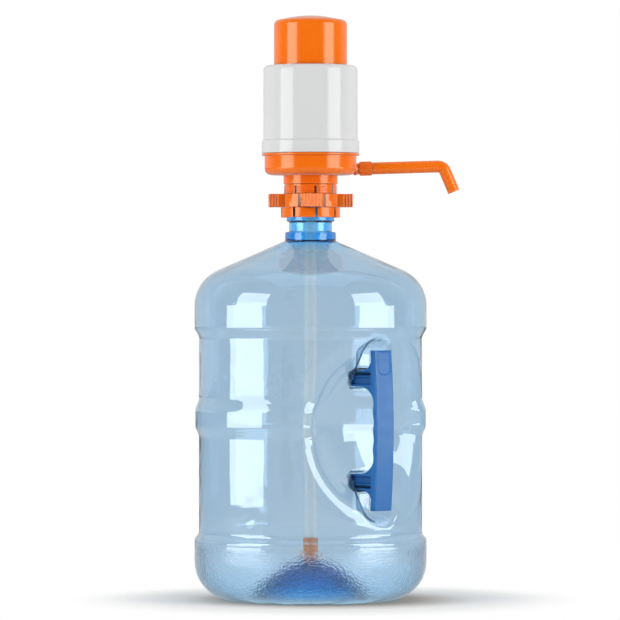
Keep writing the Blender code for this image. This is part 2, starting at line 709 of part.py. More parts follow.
def grooved_run(start, end, count, depth_side):
    # A straight run with equal grooves across it; depth_side turns them to the run's left or right.
    run = (end[0] - start[0], end[1] - start[1])
    length = math.hypot(*run)
    along = (run[0] / length, run[1] / length)
    inwards = (-along[1] * depth_side, along[0] * depth_side)
    points = []
    for index in range(count):
        for share, deep in ((0.25, 0), (0.5, RING_GROOVE_DEPTH), (0.75, 0)):
            reach = length * (index + share) / count
            points.append((start[0] + along[0] * reach + inwards[0] * deep,
                           start[1] + along[1] * reach + inwards[1] * deep))
    return points


def lobe_outline():
    # One lobe about the X axis: a notch, a grooved flank, the grooved front, and the same again.
    half = RING_LOBE_HALF_WIDTH
    corner = RING_LOBE_RADIUS - RING_GROOVE_DEPTH
    grooved = corner - RING_SIDE_GROOVES * RING_SIDE_GROOVE_PITCH
    notch_outer = half + RING_NOTCH_WIDTH
    root = math.sqrt(RING_NOTCH_RADIUS ** 2 - half ** 2)
    outer_root = math.sqrt(RING_NOTCH_RADIUS ** 2 - notch_outer ** 2)
    shoulder = math.sqrt(RING_RADIUS ** 2 - notch_outer ** 2)
    chamfer = RING_GROOVE_DEPTH
    points = [(shoulder, -notch_outer), (outer_root, -notch_outer), (root, -half), (grooved, -half)]
    points += grooved_run((grooved, -half), (corner, -half), RING_SIDE_GROOVES, 1)
    points += [(corner, -half), (RING_LOBE_RADIUS, -half + chamfer)]
    points += grooved_run((RING_LOBE_RADIUS, -half + chamfer), (RING_LOBE_RADIUS, half - chamfer),
                          RING_FRONT_GROOVES, 1)
    points += [(RING_LOBE_RADIUS, half - chamfer), (corner, half)]
    points += grooved_run((corner, half), (grooved, half), RING_SIDE_GROOVES, 1)
    points += [(grooved, half), (root, half), (outer_root, notch_outer), (shoulder, notch_outer)]
    return points


def lock_ring():
    lobe = lobe_outline()
    step = math.tau / RING_LOBE_COUNT
    edge = math.atan2(lobe[-1][1], lobe[-1][0])
    outline = []
    for index in range(RING_LOBE_COUNT):
        angle = step * index
        for across, along in lobe:
            outline.append((across * math.cos(angle) - along * math.sin(angle),
                            across * math.sin(angle) + along * math.cos(angle)))
        between = arc((0, 0), (RING_RADIUS, RING_RADIUS), angle + edge, angle + step - edge, RING_ARC_STEPS)
        outline += between[1:-1]
    bore_radius = COLLET_RADIUS + CLEARANCE
    bore = arc((0, 0), (bore_radius, bore_radius), 0, math.tau, LARGE_STEPS)[:-1]
    place = Matrix.Translation((0, 0, RING_BOTTOM + RING_HEIGHT / 2))
    return finish(outline_part("lock_ring", [outline, bore], RING_HEIGHT, place), ORANGE, 0.3)


def outlet_place(distance=0.0):
    # A place on the outlet axis, its local Z along the axis.
    tilt = Matrix.Rotation(math.pi / 2 - OUTLET_TILT, 4, "Y")
    return Matrix.Translation((0, 0, OUTLET_HEIGHT)) @ tilt @ Matrix.Translation((0, 0, distance))


def outlet_stub():
    root_start = BOWL_BORE_RADIUS
    spigot_end = THREAD_END + STUB_SPIGOT_LENGTH
    profile = [
        (0, spigot_end),
        (STUB_SPIGOT_RADIUS, spigot_end),
        (STUB_SPIGOT_RADIUS, THREAD_END),
        (THREAD_RADIUS, THREAD_END),
        (THREAD_RADIUS, THREAD_START),
        (STUB_ROOT_RADIUS, THREAD_START),
        (STUB_ROOT_RADIUS, root_start),
        (DUCT_RADIUS, root_start),
        (DUCT_RADIUS, 0),
        (0, 0),
    ]
    stub = turned_cutter("outlet_stub", profile, steps=SMALL_STEPS, closed=False)
    stub.matrix_world = outlet_place()
    return stub


def base_housing():
    inner_corner = BOWL_CORNER_RADIUS - BOWL_WALL
    ledge_bottom = LEDGE_TOP - LEDGE_THICKNESS
    neck_bore = COLLET_BORE_RADIUS + COLLET_SPIGOT_WALL + CLEARANCE
    neck_radius = neck_bore + BASE_NECK_WALL
    neck_bottom = CLEARANCE - BASE_NECK_LENGTH
    sleeve_radius = COLLET_BORE_RADIUS - CLEARANCE
    sleeve_bore = sleeve_radius - SLEEVE_WALL
    barb_radius = TUBE_RADIUS - TUBE_WALL - CLEARANCE
    barb_bottom = -RISER_LENGTH - BARB_LENGTH
    profile = [(0, FLOOR_THICKNESS)]
    corner_middle = (BOWL_BORE_RADIUS - inner_corner, FLOOR_THICKNESS + inner_corner)
    profile += round_arc(corner_middle, inner_corner, -90, 0, 2)
    profile += [
        (BOWL_BORE_RADIUS, ledge_bottom),
        (BOWL_BORE_RADIUS - LEDGE_WIDTH, ledge_bottom),
        (BOWL_BORE_RADIUS - LEDGE_WIDTH, LEDGE_TOP),
        (BOWL_BORE_RADIUS, LEDGE_TOP),
        (BOWL_BORE_RADIUS, BOWL_SPIGOT_TOP),
        (BOWL_RADIUS, BOWL_SPIGOT_TOP),
        (BOWL_RADIUS, RIM_TOP),
        (RIM_RADIUS, RIM_TOP),
        (RIM_RADIUS, BOWL_HEIGHT),
        (BOWL_RADIUS, BOWL_HEIGHT),
    ]
    outer_middle = (BOWL_RADIUS - BOWL_CORNER_RADIUS, BOWL_CORNER_RADIUS)
    profile += round_arc(outer_middle, BOWL_CORNER_RADIUS, 0, -90, 3)
    profile += [
        (neck_radius, 0),
        (neck_radius, neck_bottom),
        (neck_bore, neck_bottom),
        (neck_bore, 0),
        (sleeve_radius, 0),
        (sleeve_radius, -SLEEVE_LENGTH),
        (sleeve_bore, -SLEEVE_LENGTH),
        (sleeve_bore, 0),
        (RISER_RADIUS, 0),
        (RISER_RADIUS, -RISER_LENGTH),
        (barb_radius, -RISER_LENGTH),
        (barb_radius, barb_bottom),
        (0, barb_bottom),
    ]
    base = turned_part("base_housing", profile, BASE_HEIGHT, closed=False)
    combine(base, outlet_stub(), "UNION")
    riser_length = OUTLET_RISE - barb_bottom + CUT_OVERRUN
    riser_middle = OUTLET_HEIGHT - riser_length / 2
    combine(base, rods("riser_bore", WATER_BORE_RADIUS, riser_length, 12,
                       [Matrix.Translation((0, 0, riser_middle))]))
    duct_length = THREAD_END + STUB_SPIGOT_LENGTH + CUT_OVERRUN
    combine(base, rods("duct_bore", WATER_BORE_RADIUS, duct_length, 12, [outlet_place(duct_length / 2)]))
    hole_length = FLOOR_THICKNESS + 2 * CUT_OVERRUN
    spacing = AIR_HOLE_COUNT + 1
    places = around(AIR_HOLE_CIRCLE, BASE_HEIGHT + FLOOR_THICKNESS / 2, spacing)[1:]
    combine(base, rods("air_holes", AIR_HOLE_RADIUS, hole_length, 8, places))
    return finish(base, ORANGE, 0.3)


def suction_tube():
    profile = ring_profile(TUBE_RADIUS, TUBE_RADIUS - TUBE_WALL, TUBE_TOP - TUBE_BOTTOM)
    return finish(turned_part("suction_tube", profile, TUBE_BOTTOM, SMALL_STEPS), MILKY, 0.35, alpha=0.8)


def tube_foot():
    socket_floor = TUBE_FOOT_HEIGHT - TUBE_FOOT_SOCKET_DEPTH
    socket_radius = TUBE_RADIUS + CLEARANCE
    profile = [
        (TUBE_FOOT_RADIUS, TUBE_FOOT_HEIGHT),
        (TUBE_FOOT_RADIUS, TUBE_FOOT_CHAMFER),
        (TUBE_FOOT_RADIUS - TUBE_FOOT_CHAMFER, 0),
        (TUBE_FOOT_BORE_RADIUS, 0),
        (TUBE_FOOT_BORE_RADIUS, socket_floor),
        (socket_radius, socket_floor),
        (socket_radius, TUBE_FOOT_HEIGHT),
    ]
    foot = turned_part("tube_foot", profile, TUBE_FOOT_BOTTOM, SMALL_STEPS)
    size = (TUBE_FOOT_RADIUS, STRAINER_SLOT_WIDTH, STRAINER_SLOT_HEIGHT + CUT_OVERRUN)
    height = TUBE_FOOT_BOTTOM + (STRAINER_SLOT_HEIGHT - CUT_OVERRUN) / 2
    combine(foot, blocks("strainer_slots", size, around(TUBE_FOOT_RADIUS, height, 4, math.pi / 4)))
    return finish(foot, ORANGE, 0.35)


def valve_plate():
    profile = ring_profile(BOWL_BORE_RADIUS - CLEARANCE, FLAP_STEM_RADIUS + CLEARANCE, VALVE_PLATE_THICKNESS)
    plate = turned_part("valve_plate", profile, VALVE_PLATE_BOTTOM)
    middle = VALVE_PLATE_BOTTOM + VALVE_PLATE_THICKNESS / 2
    places = around(VALVE_HOLE_CIRCLE, middle, VALVE_HOLE_COUNT)
    length = VALVE_PLATE_THICKNESS + 2 * CUT_OVERRUN
    combine(plate, rods("valve_holes", VALVE_HOLE_RADIUS, length, 8, places))
    return finish(plate, WHITE, 0.4)


def mushroom_flap(name, radius, plate_bottom, plate_thickness):
    # A flap under a plate, its stem through the plate and its head clear above by the flap's travel.
    head_bottom = FLAP_THICKNESS + CLEARANCE + plate_thickness + FLAP_TRAVEL + CLEARANCE
    head_top = head_bottom + FLAP_HEAD_THICKNESS
    profile = [
        (0, head_top),
        (FLAP_HEAD_RADIUS, head_top),
        (FLAP_HEAD_RADIUS, head_bottom),
        (FLAP_STEM_RADIUS, head_bottom),
        (FLAP_STEM_RADIUS, FLAP_THICKNESS),
        (radius, FLAP_THICKNESS),
        (radius, 0),
        (0, 0),
    ]
    height = plate_bottom - CLEARANCE - FLAP_THICKNESS
    return finish(turned_part(name, profile, height, SMALL_STEPS, closed=False), RUBBER, 0.7)


def bellows():
    # Folds as a zigzag wall between a wide lip at the bottom and a flat collar at the top.
    folds_bottom = BELLOWS_LIP_THICKNESS
    folds_top = BELLOWS_HEIGHT - BELLOWS_WALL
    steps = 2 * BELLOWS_FOLD_COUNT
    outside = []
    inside = []
    for index in range(steps + 1):
        height = folds_top + (folds_bottom - folds_top) * index / steps
        crest = index % 2 == 1
        outside.append((BELLOWS_FOLD_RADIUS if crest else BELLOWS_BORE_RADIUS + BELLOWS_WALL, height))
        inside.append((BELLOWS_FOLD_RADIUS - BELLOWS_WALL if crest else BELLOWS_BORE_RADIUS, height))
    profile = [(TOP_PLATE_RADIUS, BELLOWS_HEIGHT), (TOP_PLATE_RADIUS, folds_top)]
    profile += outside
    profile += [(BELLOWS_LIP_RADIUS, BELLOWS_LIP_THICKNESS), (BELLOWS_LIP_RADIUS, 0),
                (BELLOWS_BORE_RADIUS, 0)]
    profile += reversed(inside[1:-1])
    profile += [(BELLOWS_BORE_RADIUS, folds_top), (BELLOWS_TOP_BORE_RADIUS, folds_top),
                (BELLOWS_TOP_BORE_RADIUS, BELLOWS_HEIGHT)]
    return finish(turned_part("bellows", profile, BELLOWS_BOTTOM, SMALL_STEPS), MILKY, 0.5)


def bellows_ring():
    profile = ring_profile(BOWL_BORE_RADIUS - CLEARANCE, BELLOWS_RING_BORE_RADIUS, BELLOWS_RING_THICKNESS)
    return finish(turned_part("bellows_ring", profile, BELLOWS_RING_BOTTOM), WHITE, 0.4)


def spring_height(turns):
    # The end turns lie close; the working turns share the rest of the height.
    rise = BELLOWS_HEIGHT - 2 * SPRING_WIRE_RADIUS
    working_pitch = (rise - 2 * SPRING_END_PITCH) / (SPRING_TURNS - 2)
    working = min(max(turns - 1, 0), SPRING_TURNS - 2)
    ends = turns - working
    return SPRING_WIRE_RADIUS + ends * SPRING_END_PITCH + working * working_pitch


def return_spring():
    points = []
    for index in range(SPRING_TURNS * SPRING_POINTS_PER_TURN + 1):
        turns = index / SPRING_POINTS_PER_TURN
        angle = math.tau * turns
        points.append((SPRING_RADIUS * math.cos(angle), SPRING_RADIUS * math.sin(angle),
                       spring_height(turns)))
    spring = add_part("return_spring", tube_curve("return_spring", points, SPRING_WIRE_RADIUS, 1))
    spring.location.z = BELLOWS_BOTTOM
    return finish(spring, STEEL, 0.3, metallic=1)


def bellows_top_plate():
    profile = ring_profile(TOP_PLATE_RADIUS, FLAP_STEM_RADIUS + CLEARANCE, TOP_PLATE_THICKNESS)
    plate = turned_part("bellows_top_plate", profile, TOP_PLATE_BOTTOM)
    middle = TOP_PLATE_BOTTOM + TOP_PLATE_THICKNESS / 2
    length = TOP_PLATE_THICKNESS + 2 * CUT_OVERRUN
    places = around(INTAKE_HOLE_CIRCLE, middle, INTAKE_HOLE_COUNT)
    combine(plate, rods("intake_holes", INTAKE_HOLE_RADIUS, length, 8, places))
    return finish(plate, WHITE, 0.4)


def body_shell():
    shoulder = (BODY_RADIUS - BODY_SHOULDER_RADIUS, BODY_HEIGHT - BODY_SHOULDER_RADIUS)
    bore = BODY_RADIUS - BODY_WALL
    inner_top = BODY_HEIGHT - BODY_TOP_THICKNESS
    inner_corner = (BODY_SHOULDER_RADIUS - BODY_WALL, inner_top - shoulder[1])
    socket = BOWL_RADIUS + CLEARANCE
    chamfer = BODY_BAND_RADIUS - BODY_RADIUS
    profile = [(BODY_TOP_BORE_RADIUS, BODY_HEIGHT)]
    profile += round_arc(shoulder, BODY_SHOULDER_RADIUS, 90, 0, 4)
    profile += [
        (BODY_RADIUS, BODY_BAND_HEIGHT),
        (BODY_BAND_RADIUS, BODY_BAND_HEIGHT - chamfer),
        (BODY_BAND_RADIUS, 0),
        (socket, 0),
        (socket, BODY_SOCKET_DEPTH),
        (bore, BODY_SOCKET_DEPTH),
    ]
    profile += arc(shoulder, inner_corner, 0, math.pi / 2, 3)
    profile.append((BODY_TOP_BORE_RADIUS, inner_top))
    return finish(turned_part("body_shell", profile, BODY_BOTTOM), WHITE, 0.12)


def body_seal():
    bottom = BASE_HEIGHT + BOWL_SPIGOT_TOP + CLEARANCE
    thickness = BODY_BOTTOM + BODY_SOCKET_DEPTH - CLEARANCE - bottom
    profile = ring_profile(BOWL_RADIUS, BOWL_RADIUS - SEAL_WIDTH, thickness)
    return finish(turned_part("body_seal", profile, bottom), RUBBER, 0.7)


def cap_dome(radius, drop):
    edge = CAP_RADIUS - CAP_CORNER_RADIUS
    return CAP_HEIGHT - drop - CAP_DOME_RISE * (radius / edge) ** 2


def press_cap():
    edge = CAP_RADIUS - CAP_CORNER_RADIUS
    corner = (edge, CAP_HEIGHT - CAP_DOME_RISE - CAP_CORNER_RADIUS)
    inner = CAP_RADIUS - CAP_WALL
    boss_bottom = CAP_HEIGHT - CAP_BOSS_END_DROP
    boss_bore = CAP_BOSS_RADIUS - CAP_BOSS_WALL
    chamfer = BODY_SHOULDER_RADIUS - BODY_WALL
    profile = [(share * edge, cap_dome(share * edge, 0)) for share in CAP_DOME_RING_SHARES]
    profile += round_arc(corner, CAP_CORNER_RADIUS, 90, 0, 4)
    profile += [
        (CAP_RADIUS, CAP_FLANGE_THICKNESS),
        (CAP_FLANGE_RADIUS - chamfer, CAP_FLANGE_THICKNESS),
        (CAP_FLANGE_RADIUS, CAP_FLANGE_THICKNESS - chamfer),
        (CAP_FLANGE_RADIUS, 0),
        (inner, 0),
    ]
    profile += round_arc(corner, CAP_CORNER_RADIUS - CAP_WALL, 0, 90, 3)
    profile += [
        (CAP_BOSS_RADIUS, cap_dome(CAP_BOSS_RADIUS, CAP_WALL)),
        (CAP_BOSS_RADIUS, boss_bottom),
        (boss_bore, boss_bottom),
        (boss_bore, cap_dome(boss_bore, CAP_WALL)),
        (0, cap_dome(0, CAP_WALL)),
    ]
    cap = turned_part("press_cap", profile, CAP_BOTTOM, closed=False)
    size = (2 * CAP_BOSS_WALL, CAP_BOSS_NOTCH_WIDTH, CAP_BOSS_NOTCH_DEPTH + CUT_OVERRUN)
    height = CAP_BOTTOM + boss_bottom + (CAP_BOSS_NOTCH_DEPTH - CUT_OVERRUN) / 2
    places = around(CAP_BOSS_RADIUS - CAP_BOSS_WALL / 2, height, CAP_BOSS_NOTCH_COUNT, math.pi / 4)
    combine(cap, blocks("boss_notches", size, places))
    return finish(cap, ORANGE, 0.25)


def spout_nut():
    # A ridged ring, bored wide for the thread and the flange and narrow for the lip behind the flange.
    count = 2 * NUT_RIDGE_COUNT
    outline = []
    for index in range(count):
        radius = NUT_RADIUS if index % 2 == 0 else NUT_RADIUS - NUT_RIDGE_HEIGHT
        angle = math.tau * index / count
        outline.append((radius * math.cos(angle), radius * math.sin(angle)))
    place = outlet_place(NUT_START + NUT_LENGTH / 2)
    nut = as_mesh(outline_part("spout_nut", [outline], NUT_LENGTH, place), add_part)
    wide = THREAD_RADIUS + CLEARANCE
    lip = NUT_LIP_START - NUT_START - NUT_LENGTH / 2
    half = NUT_LENGTH / 2 + CUT_OVERRUN
    profile = [(0, half), (NUT_LIP_RADIUS, half), (NUT_LIP_RADIUS, lip), (wide, lip),
               (wide, -half), (0, -half)]
    bore = turned_cutter("nut_bore", profile, steps=SMALL_STEPS, closed=False)
    bore.matrix_world = place
    combine(nut, bore)
    return finish(nut, ORANGE, 0.3)


def spout_seal():
    profile = ring_profile(SPOUT_SEAL_RADIUS, STUB_SPIGOT_RADIUS + CLEARANCE, SPOUT_SEAL_THICKNESS)
    seal = turned_part("spout_seal", profile, steps=SMALL_STEPS)
    seal.matrix_world = outlet_place(SPOUT_SEAL_START)
    return finish(seal, RUBBER, 0.7)


def spout_path(start, overrun):
    # Along the outlet axis, round the bend and down the drop; X is along the axis and Y across it.
    turn_by = SPOUT_DROP_ANGLE + OUTLET_TILT
    tangent = SPOUT_BEND_RADIUS * math.tan(turn_by / 2)
    bend_start = SPOUT_REACH - tangent
    points = [(start, 0)]
    for index in range(SPOUT_BEND_STEPS + 1):
        angle = turn_by * index / SPOUT_BEND_STEPS
        points.append((bend_start + SPOUT_BEND_RADIUS * math.sin(angle),
                       SPOUT_BEND_RADIUS * (math.cos(angle) - 1)))
    drop = SPOUT_DROP + overrun
    points.append((SPOUT_REACH + drop * math.cos(turn_by), -drop * math.sin(turn_by)))
    return points


def spout():
    # The bar's radius steps from flange to neck to tube, and its bore is cut along the same path.
    flange = THREAD_RADIUS / SPOUT_RADIUS
    neck = SPOUT_NECK_RADIUS / SPOUT_RADIUS
    flange_end = SPOUT_START + SPOUT_FLANGE_THICKNESS
    steps = [(SPOUT_START, flange), (flange_end, flange), (flange_end + SPOUT_STEP, neck),
             (SPOUT_TUBE_START - SPOUT_STEP, neck)]
    path = spout_path(SPOUT_TUBE_START, 0)
    places = [(along, 0, 0) for along, share in steps] + [(along, 0, up) for along, up in path]
    shares = [share for along, share in steps] + [1] * len(path)
    place = Matrix.Translation((0, 0, OUTLET_HEIGHT)) @ Matrix.Rotation(-OUTLET_TILT, 4, "Y")
    bar = add_part("spout", tube_curve("spout", places, SPOUT_RADIUS, 4, shares))
    bar.matrix_world = place
    obj = as_mesh(bar, add_part)
    bore_places = [(along, 0, up) for along, up in spout_path(SPOUT_START - CUT_OVERRUN, CUT_OVERRUN)]
    bore = add_cutter("spout_bore", tube_curve("spout_bore", bore_places, SPOUT_BORE_RADIUS, 4))
    bore.matrix_world = place
    combine(obj, as_mesh(bore, add_cutter))
    return finish(obj, ORANGE, 0.25)


def carry_on_axis():
    # Every piece is built about the Z axis; one empty then carries them all to the jug's axis.
    pieces = list(PARTS.objects) + list(CUTTERS.objects)
    axis = add_part("jug_axis", None)
    for obj in pieces:
        obj.parent = axis
    axis.location.x = JUG_AXIS_X


jug_shell()
jug_handle()
neck_gasket()
collet()
lock_ring()
base_housing()
suction_tube()
tube_foot()
valve_plate()
mushroom_flap("outlet_flap", OUTLET_FLAP_RADIUS, VALVE_PLATE_BOTTOM, VALVE_PLATE_THICKNESS)
bellows()
bellows_ring()
return_spring()
bellows_top_plate()
mushroom_flap("intake_flap", INTAKE_FLAP_RADIUS, TOP_PLATE_BOTTOM, TOP_PLATE_THICKNESS)
body_shell()
body_seal()
press_cap()
spout_nut()
spout_seal()
spout()
carry_on_axis()
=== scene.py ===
import json
import math

import bmesh
import bpy
import numpy as np
from mathutils import Matrix, Vector

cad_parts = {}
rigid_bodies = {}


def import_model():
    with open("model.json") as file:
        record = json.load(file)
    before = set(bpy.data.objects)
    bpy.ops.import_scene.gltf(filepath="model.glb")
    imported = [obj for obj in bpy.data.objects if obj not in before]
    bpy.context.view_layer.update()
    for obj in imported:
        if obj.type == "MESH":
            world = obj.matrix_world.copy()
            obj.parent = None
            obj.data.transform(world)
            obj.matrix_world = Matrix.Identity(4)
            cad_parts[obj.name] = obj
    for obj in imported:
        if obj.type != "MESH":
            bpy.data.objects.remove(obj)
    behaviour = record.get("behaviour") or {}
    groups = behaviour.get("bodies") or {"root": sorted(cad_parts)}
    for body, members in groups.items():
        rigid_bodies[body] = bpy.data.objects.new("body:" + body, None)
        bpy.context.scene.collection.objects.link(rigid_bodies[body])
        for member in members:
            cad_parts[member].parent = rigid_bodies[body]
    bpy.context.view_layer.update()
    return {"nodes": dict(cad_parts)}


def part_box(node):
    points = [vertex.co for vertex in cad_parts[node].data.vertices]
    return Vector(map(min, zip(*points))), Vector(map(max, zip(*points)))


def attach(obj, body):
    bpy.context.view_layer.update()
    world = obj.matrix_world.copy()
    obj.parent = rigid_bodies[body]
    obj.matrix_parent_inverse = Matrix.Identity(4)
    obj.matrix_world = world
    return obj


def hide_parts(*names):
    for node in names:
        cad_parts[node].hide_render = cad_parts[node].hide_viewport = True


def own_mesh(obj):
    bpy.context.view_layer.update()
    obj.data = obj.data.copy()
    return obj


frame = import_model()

# Every length is in metres, and heights run up from the floor. Pieces are built about the jug's own
# axis and then shifted to where the frame has it.
jugLow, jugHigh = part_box("jug_shell")
axisX = (jugLow.x + jugHigh.x) / 2
axisPlace = Matrix.Translation((axisX, 0, 0))
scene = bpy.context.scene
pi = math.pi


# Small helpers for nodes and colours

def linear(hexText):
    # A colour written as in a paint program, turned into the linear values that shaders use.
    values = [int(hexText[at:at + 2], 16) / 255 for at in (1, 3, 5)]
    return tuple(v / 12.92 if v <= 0.04045 else ((v + 0.055) / 1.055) ** 2.4 for v in values) + (1.0,)


def addNode(tree, kind, inputs=None, **settings):
    node = tree.nodes.new(kind)
    for key, value in settings.items():
        setattr(node, key, value)
    for key, value in (inputs or {}).items():
        if isinstance(value, bpy.types.NodeSocket):
            tree.links.new(value, node.inputs[key])
        else:
            node.inputs[key].default_value = value
    return node


def newMaterial(name):
    material = bpy.data.materials.new(name)
    material.use_nodes = True
    material.node_tree.nodes.clear()
    return material, material.node_tree


def objectPoint(tree):
    return addNode(tree, "ShaderNodeTexCoord").outputs["Object"]


def noise(tree, point, size, detail=2.0, roughness=0.5):
    # The size is that of one bump or patch, in metres.
    return addNode(tree, "ShaderNodeTexNoise", {"Vector": point, "Scale": 1 / size, "Detail": detail,
                                                "Roughness": roughness}).outputs["Fac"]


def mathNode(tree, operation, first, second=0.5):
    return addNode(tree, "ShaderNodeMath", {0: first, 1: second}, operation=operation).outputs[0]


def ramp(tree, value, low, high, start, end):
    # Carries a value that runs from low to high over to start and end, and stops at both.
    return addNode(tree, "ShaderNodeMapRange", {"Value": value, "From Min": low, "From Max": high,
                                                "To Min": start, "To Max": end}).outputs["Result"]


def mixColour(tree, factor, first, second):
    mix = addNode(tree, "ShaderNodeMix", data_type="RGBA")
    for socket, value in ((mix.inputs[0], factor), (mix.inputs[6], first), (mix.inputs[7], second)):
        if isinstance(value, bpy.types.NodeSocket):
            tree.links.new(value, socket)
        else:
            socket.default_value = value
    return mix.outputs[2]


def mouldedPlastic(name, colour, shade, gloss, peel, peelDepth, patch, subsurface=0.0, tint="#FFFFFF",
                   ior=1.52):
    # Injection moulded plastic. A slow drift between two near colours keeps a wide face from looking
    # painted, the fine peel breaks up the edge of a reflection, and the gloss varies a little with it.
    material, tree = newMaterial(name)
    point = objectPoint(tree)
    drift = noise(tree, point, patch, 3)
    colourOut = mixColour(tree, drift, linear(colour), linear(shade))
    # Slots and grooves are darkened with painted shade: an ambient occlusion node mixes a dark brown into
    # the colour where they are closed in.
    openness = addNode(tree, "ShaderNodeAmbientOcclusion", {"Distance": 0.006}, samples=8).outputs["AO"]
    deep = addNode(tree, "ShaderNodeMix", {6: linear("#4A2410"), 7: (1.0, 1.0, 1.0, 1.0)}, data_type="RGBA")
    tree.links.new(ramp(tree, openness, 0.16, 0.66, 0.0, 1.0), deep.inputs[0])
    colourOut = addNode(tree, "ShaderNodeMix", {0: 1.0, 6: colourOut, 7: deep.outputs[2]}, data_type="RGBA",
                        blend_type="MULTIPLY").outputs[2]
    rough = ramp(tree, noise(tree, point, patch / 3, 4), 0.3, 0.7, gloss * 0.85, gloss * 1.2)
    bump = addNode(tree, "ShaderNodeBump", {"Height": noise(tree, point, peel, 2), "Strength": 1.0,
                                            "Distance": peelDepth})
    surface = addNode(tree, "ShaderNodeBsdfPrincipled",
                      {"Base Color": colourOut, "Roughness": rough, "IOR": ior,
                       "Specular Tint": linear(tint), "Subsurface Weight": subsurface,
                       "Subsurface Scale": 0.002, "Normal": bump.outputs["Normal"]})
    addNode(tree, "ShaderNodeOutputMaterial", {"Surface": surface.outputs[0]})
    return material


# Materials, each named for what the real piece is made of and how it is formed

polycarbonate = {
    "waveSize": 0.03, "waveDepth": 0.0003, "pebbleSize": 0.0022, "pebbleDepth": 0.0003, "pebbleTop": 0.066,
    "roughness": 0.02, "ior": 1.58, "bodyTint": (0.8, 0.81, 0.845, 1.0), "footTint": (0.8, 0.87, 0.94, 1.0),
    "neckTint": (0.48, 0.8, 1.0, 1.0), "neckStart": 0.405, "puntTint": (0.22, 0.82, 1.0, 1.0),
    "puntSheen": (0.1, 0.3, 0.6, 1.0), "puntTop": 0.058, "puntEdge": 0.078,
    "passing": (1.0, 0.94, 0.9, 1.0), "depth": (0.012, 0.594, 0.882, 1.0), "density": 150.0,
}


def blownPolycarbonate():
    # Clear blue polycarbonate, blown: glassy skin, slow waves where the wall thickness wanders, and a
    # tint that deepens where the eye looks through more of it, as at the neck, the edges and the punt.
    material, tree = newMaterial("blown polycarbonate")
    point = objectPoint(tree)
    height = addNode(tree, "ShaderNodeSeparateXYZ", {"Vector": point}).outputs["Z"]
    s = polycarbonate
    waves = noise(tree, point, s["waveSize"], 1)
    pebble = noise(tree, point, s["pebbleSize"], 1)
    low = ramp(tree, height, s["pebbleTop"], s["pebbleTop"] - 0.006, 0.0, 1.0)
    lowest = ramp(tree, height, 0.004, 0.012, 0.0, 1.0)
    pebbled = mathNode(tree, "MULTIPLY", pebble, mathNode(tree, "MULTIPLY", low, lowest))
    waved = addNode(tree, "ShaderNodeBump", {"Height": waves, "Strength": 1.0, "Distance": s["waveDepth"]})
    bump = addNode(tree, "ShaderNodeBump", {"Height": pebbled, "Strength": 1.0, "Distance": s["pebbleDepth"],
                                            "Normal": waved.outputs["Normal"]})
    # The body's skin is a little grey from wear. The neck and the punt, which blowing stretches least,
    # keep a deeper tint.
    flat = addNode(tree, "ShaderNodeVectorMath", {0: point, 1: (1, 1, 0)}, operation="MULTIPLY").outputs[0]
    spoke = addNode(tree, "ShaderNodeVectorMath", {0: flat, 1: (axisX, 0, 0)},
                    operation="SUBTRACT").outputs[0]
    away = addNode(tree, "ShaderNodeVectorMath", {0: spoke}, operation="LENGTH").outputs["Value"]
    punt = mathNode(tree, "MULTIPLY", ramp(tree, height, s["puntTop"], s["puntTop"] - 0.01, 0.0, 1.0),
                    ramp(tree, away, s["puntEdge"], s["puntEdge"] - 0.01, 0.0, 1.0))
    bodyTint = mixColour(tree, ramp(tree, height, 0.05, 0.015, 0.0, 1.0), s["bodyTint"], s["footTint"])
    neck = ramp(tree, height, s["neckStart"], s["neckStart"] + 0.013, 0.0, 1.0)
    tint = mixColour(tree, neck, bodyTint, s["neckTint"])
    tint = mixColour(tree, punt, tint, s["puntTint"])
    sheen = mixColour(tree, punt, (1.0, 1.0, 1.0, 1.0), s["puntSheen"])
    skin = addNode(tree, "ShaderNodeBsdfPrincipled",
                   {"Base Color": tint, "Roughness": s["roughness"], "IOR": s["ior"], "Specular Tint": sheen,
                    "Transmission Weight": 1.0, "Normal": bump.outputs["Normal"]})
    # Light that only passes through to what stands inside or beneath goes straight, and keeps most of
    # its strength.
    passing = addNode(tree, "ShaderNodeBsdfTransparent", {"Color": s["passing"]})
    path = addNode(tree, "ShaderNodeLightPath")
    through = mathNode(tree, "MAXIMUM", path.outputs["Is Shadow Ray"], path.outputs["Is Diffuse Ray"])
    mix = addNode(tree, "ShaderNodeMixShader", {0: through, 1: skin.outputs[0], 2: passing.outputs[0]})
    volume = addNode(tree, "ShaderNodeVolumeAbsorption", {"Color": s["depth"], "Density": s["density"]})
    addNode(tree, "ShaderNodeOutputMaterial", {"Surface": mix.outputs[0], "Volume": volume.outputs[0]})
    return material


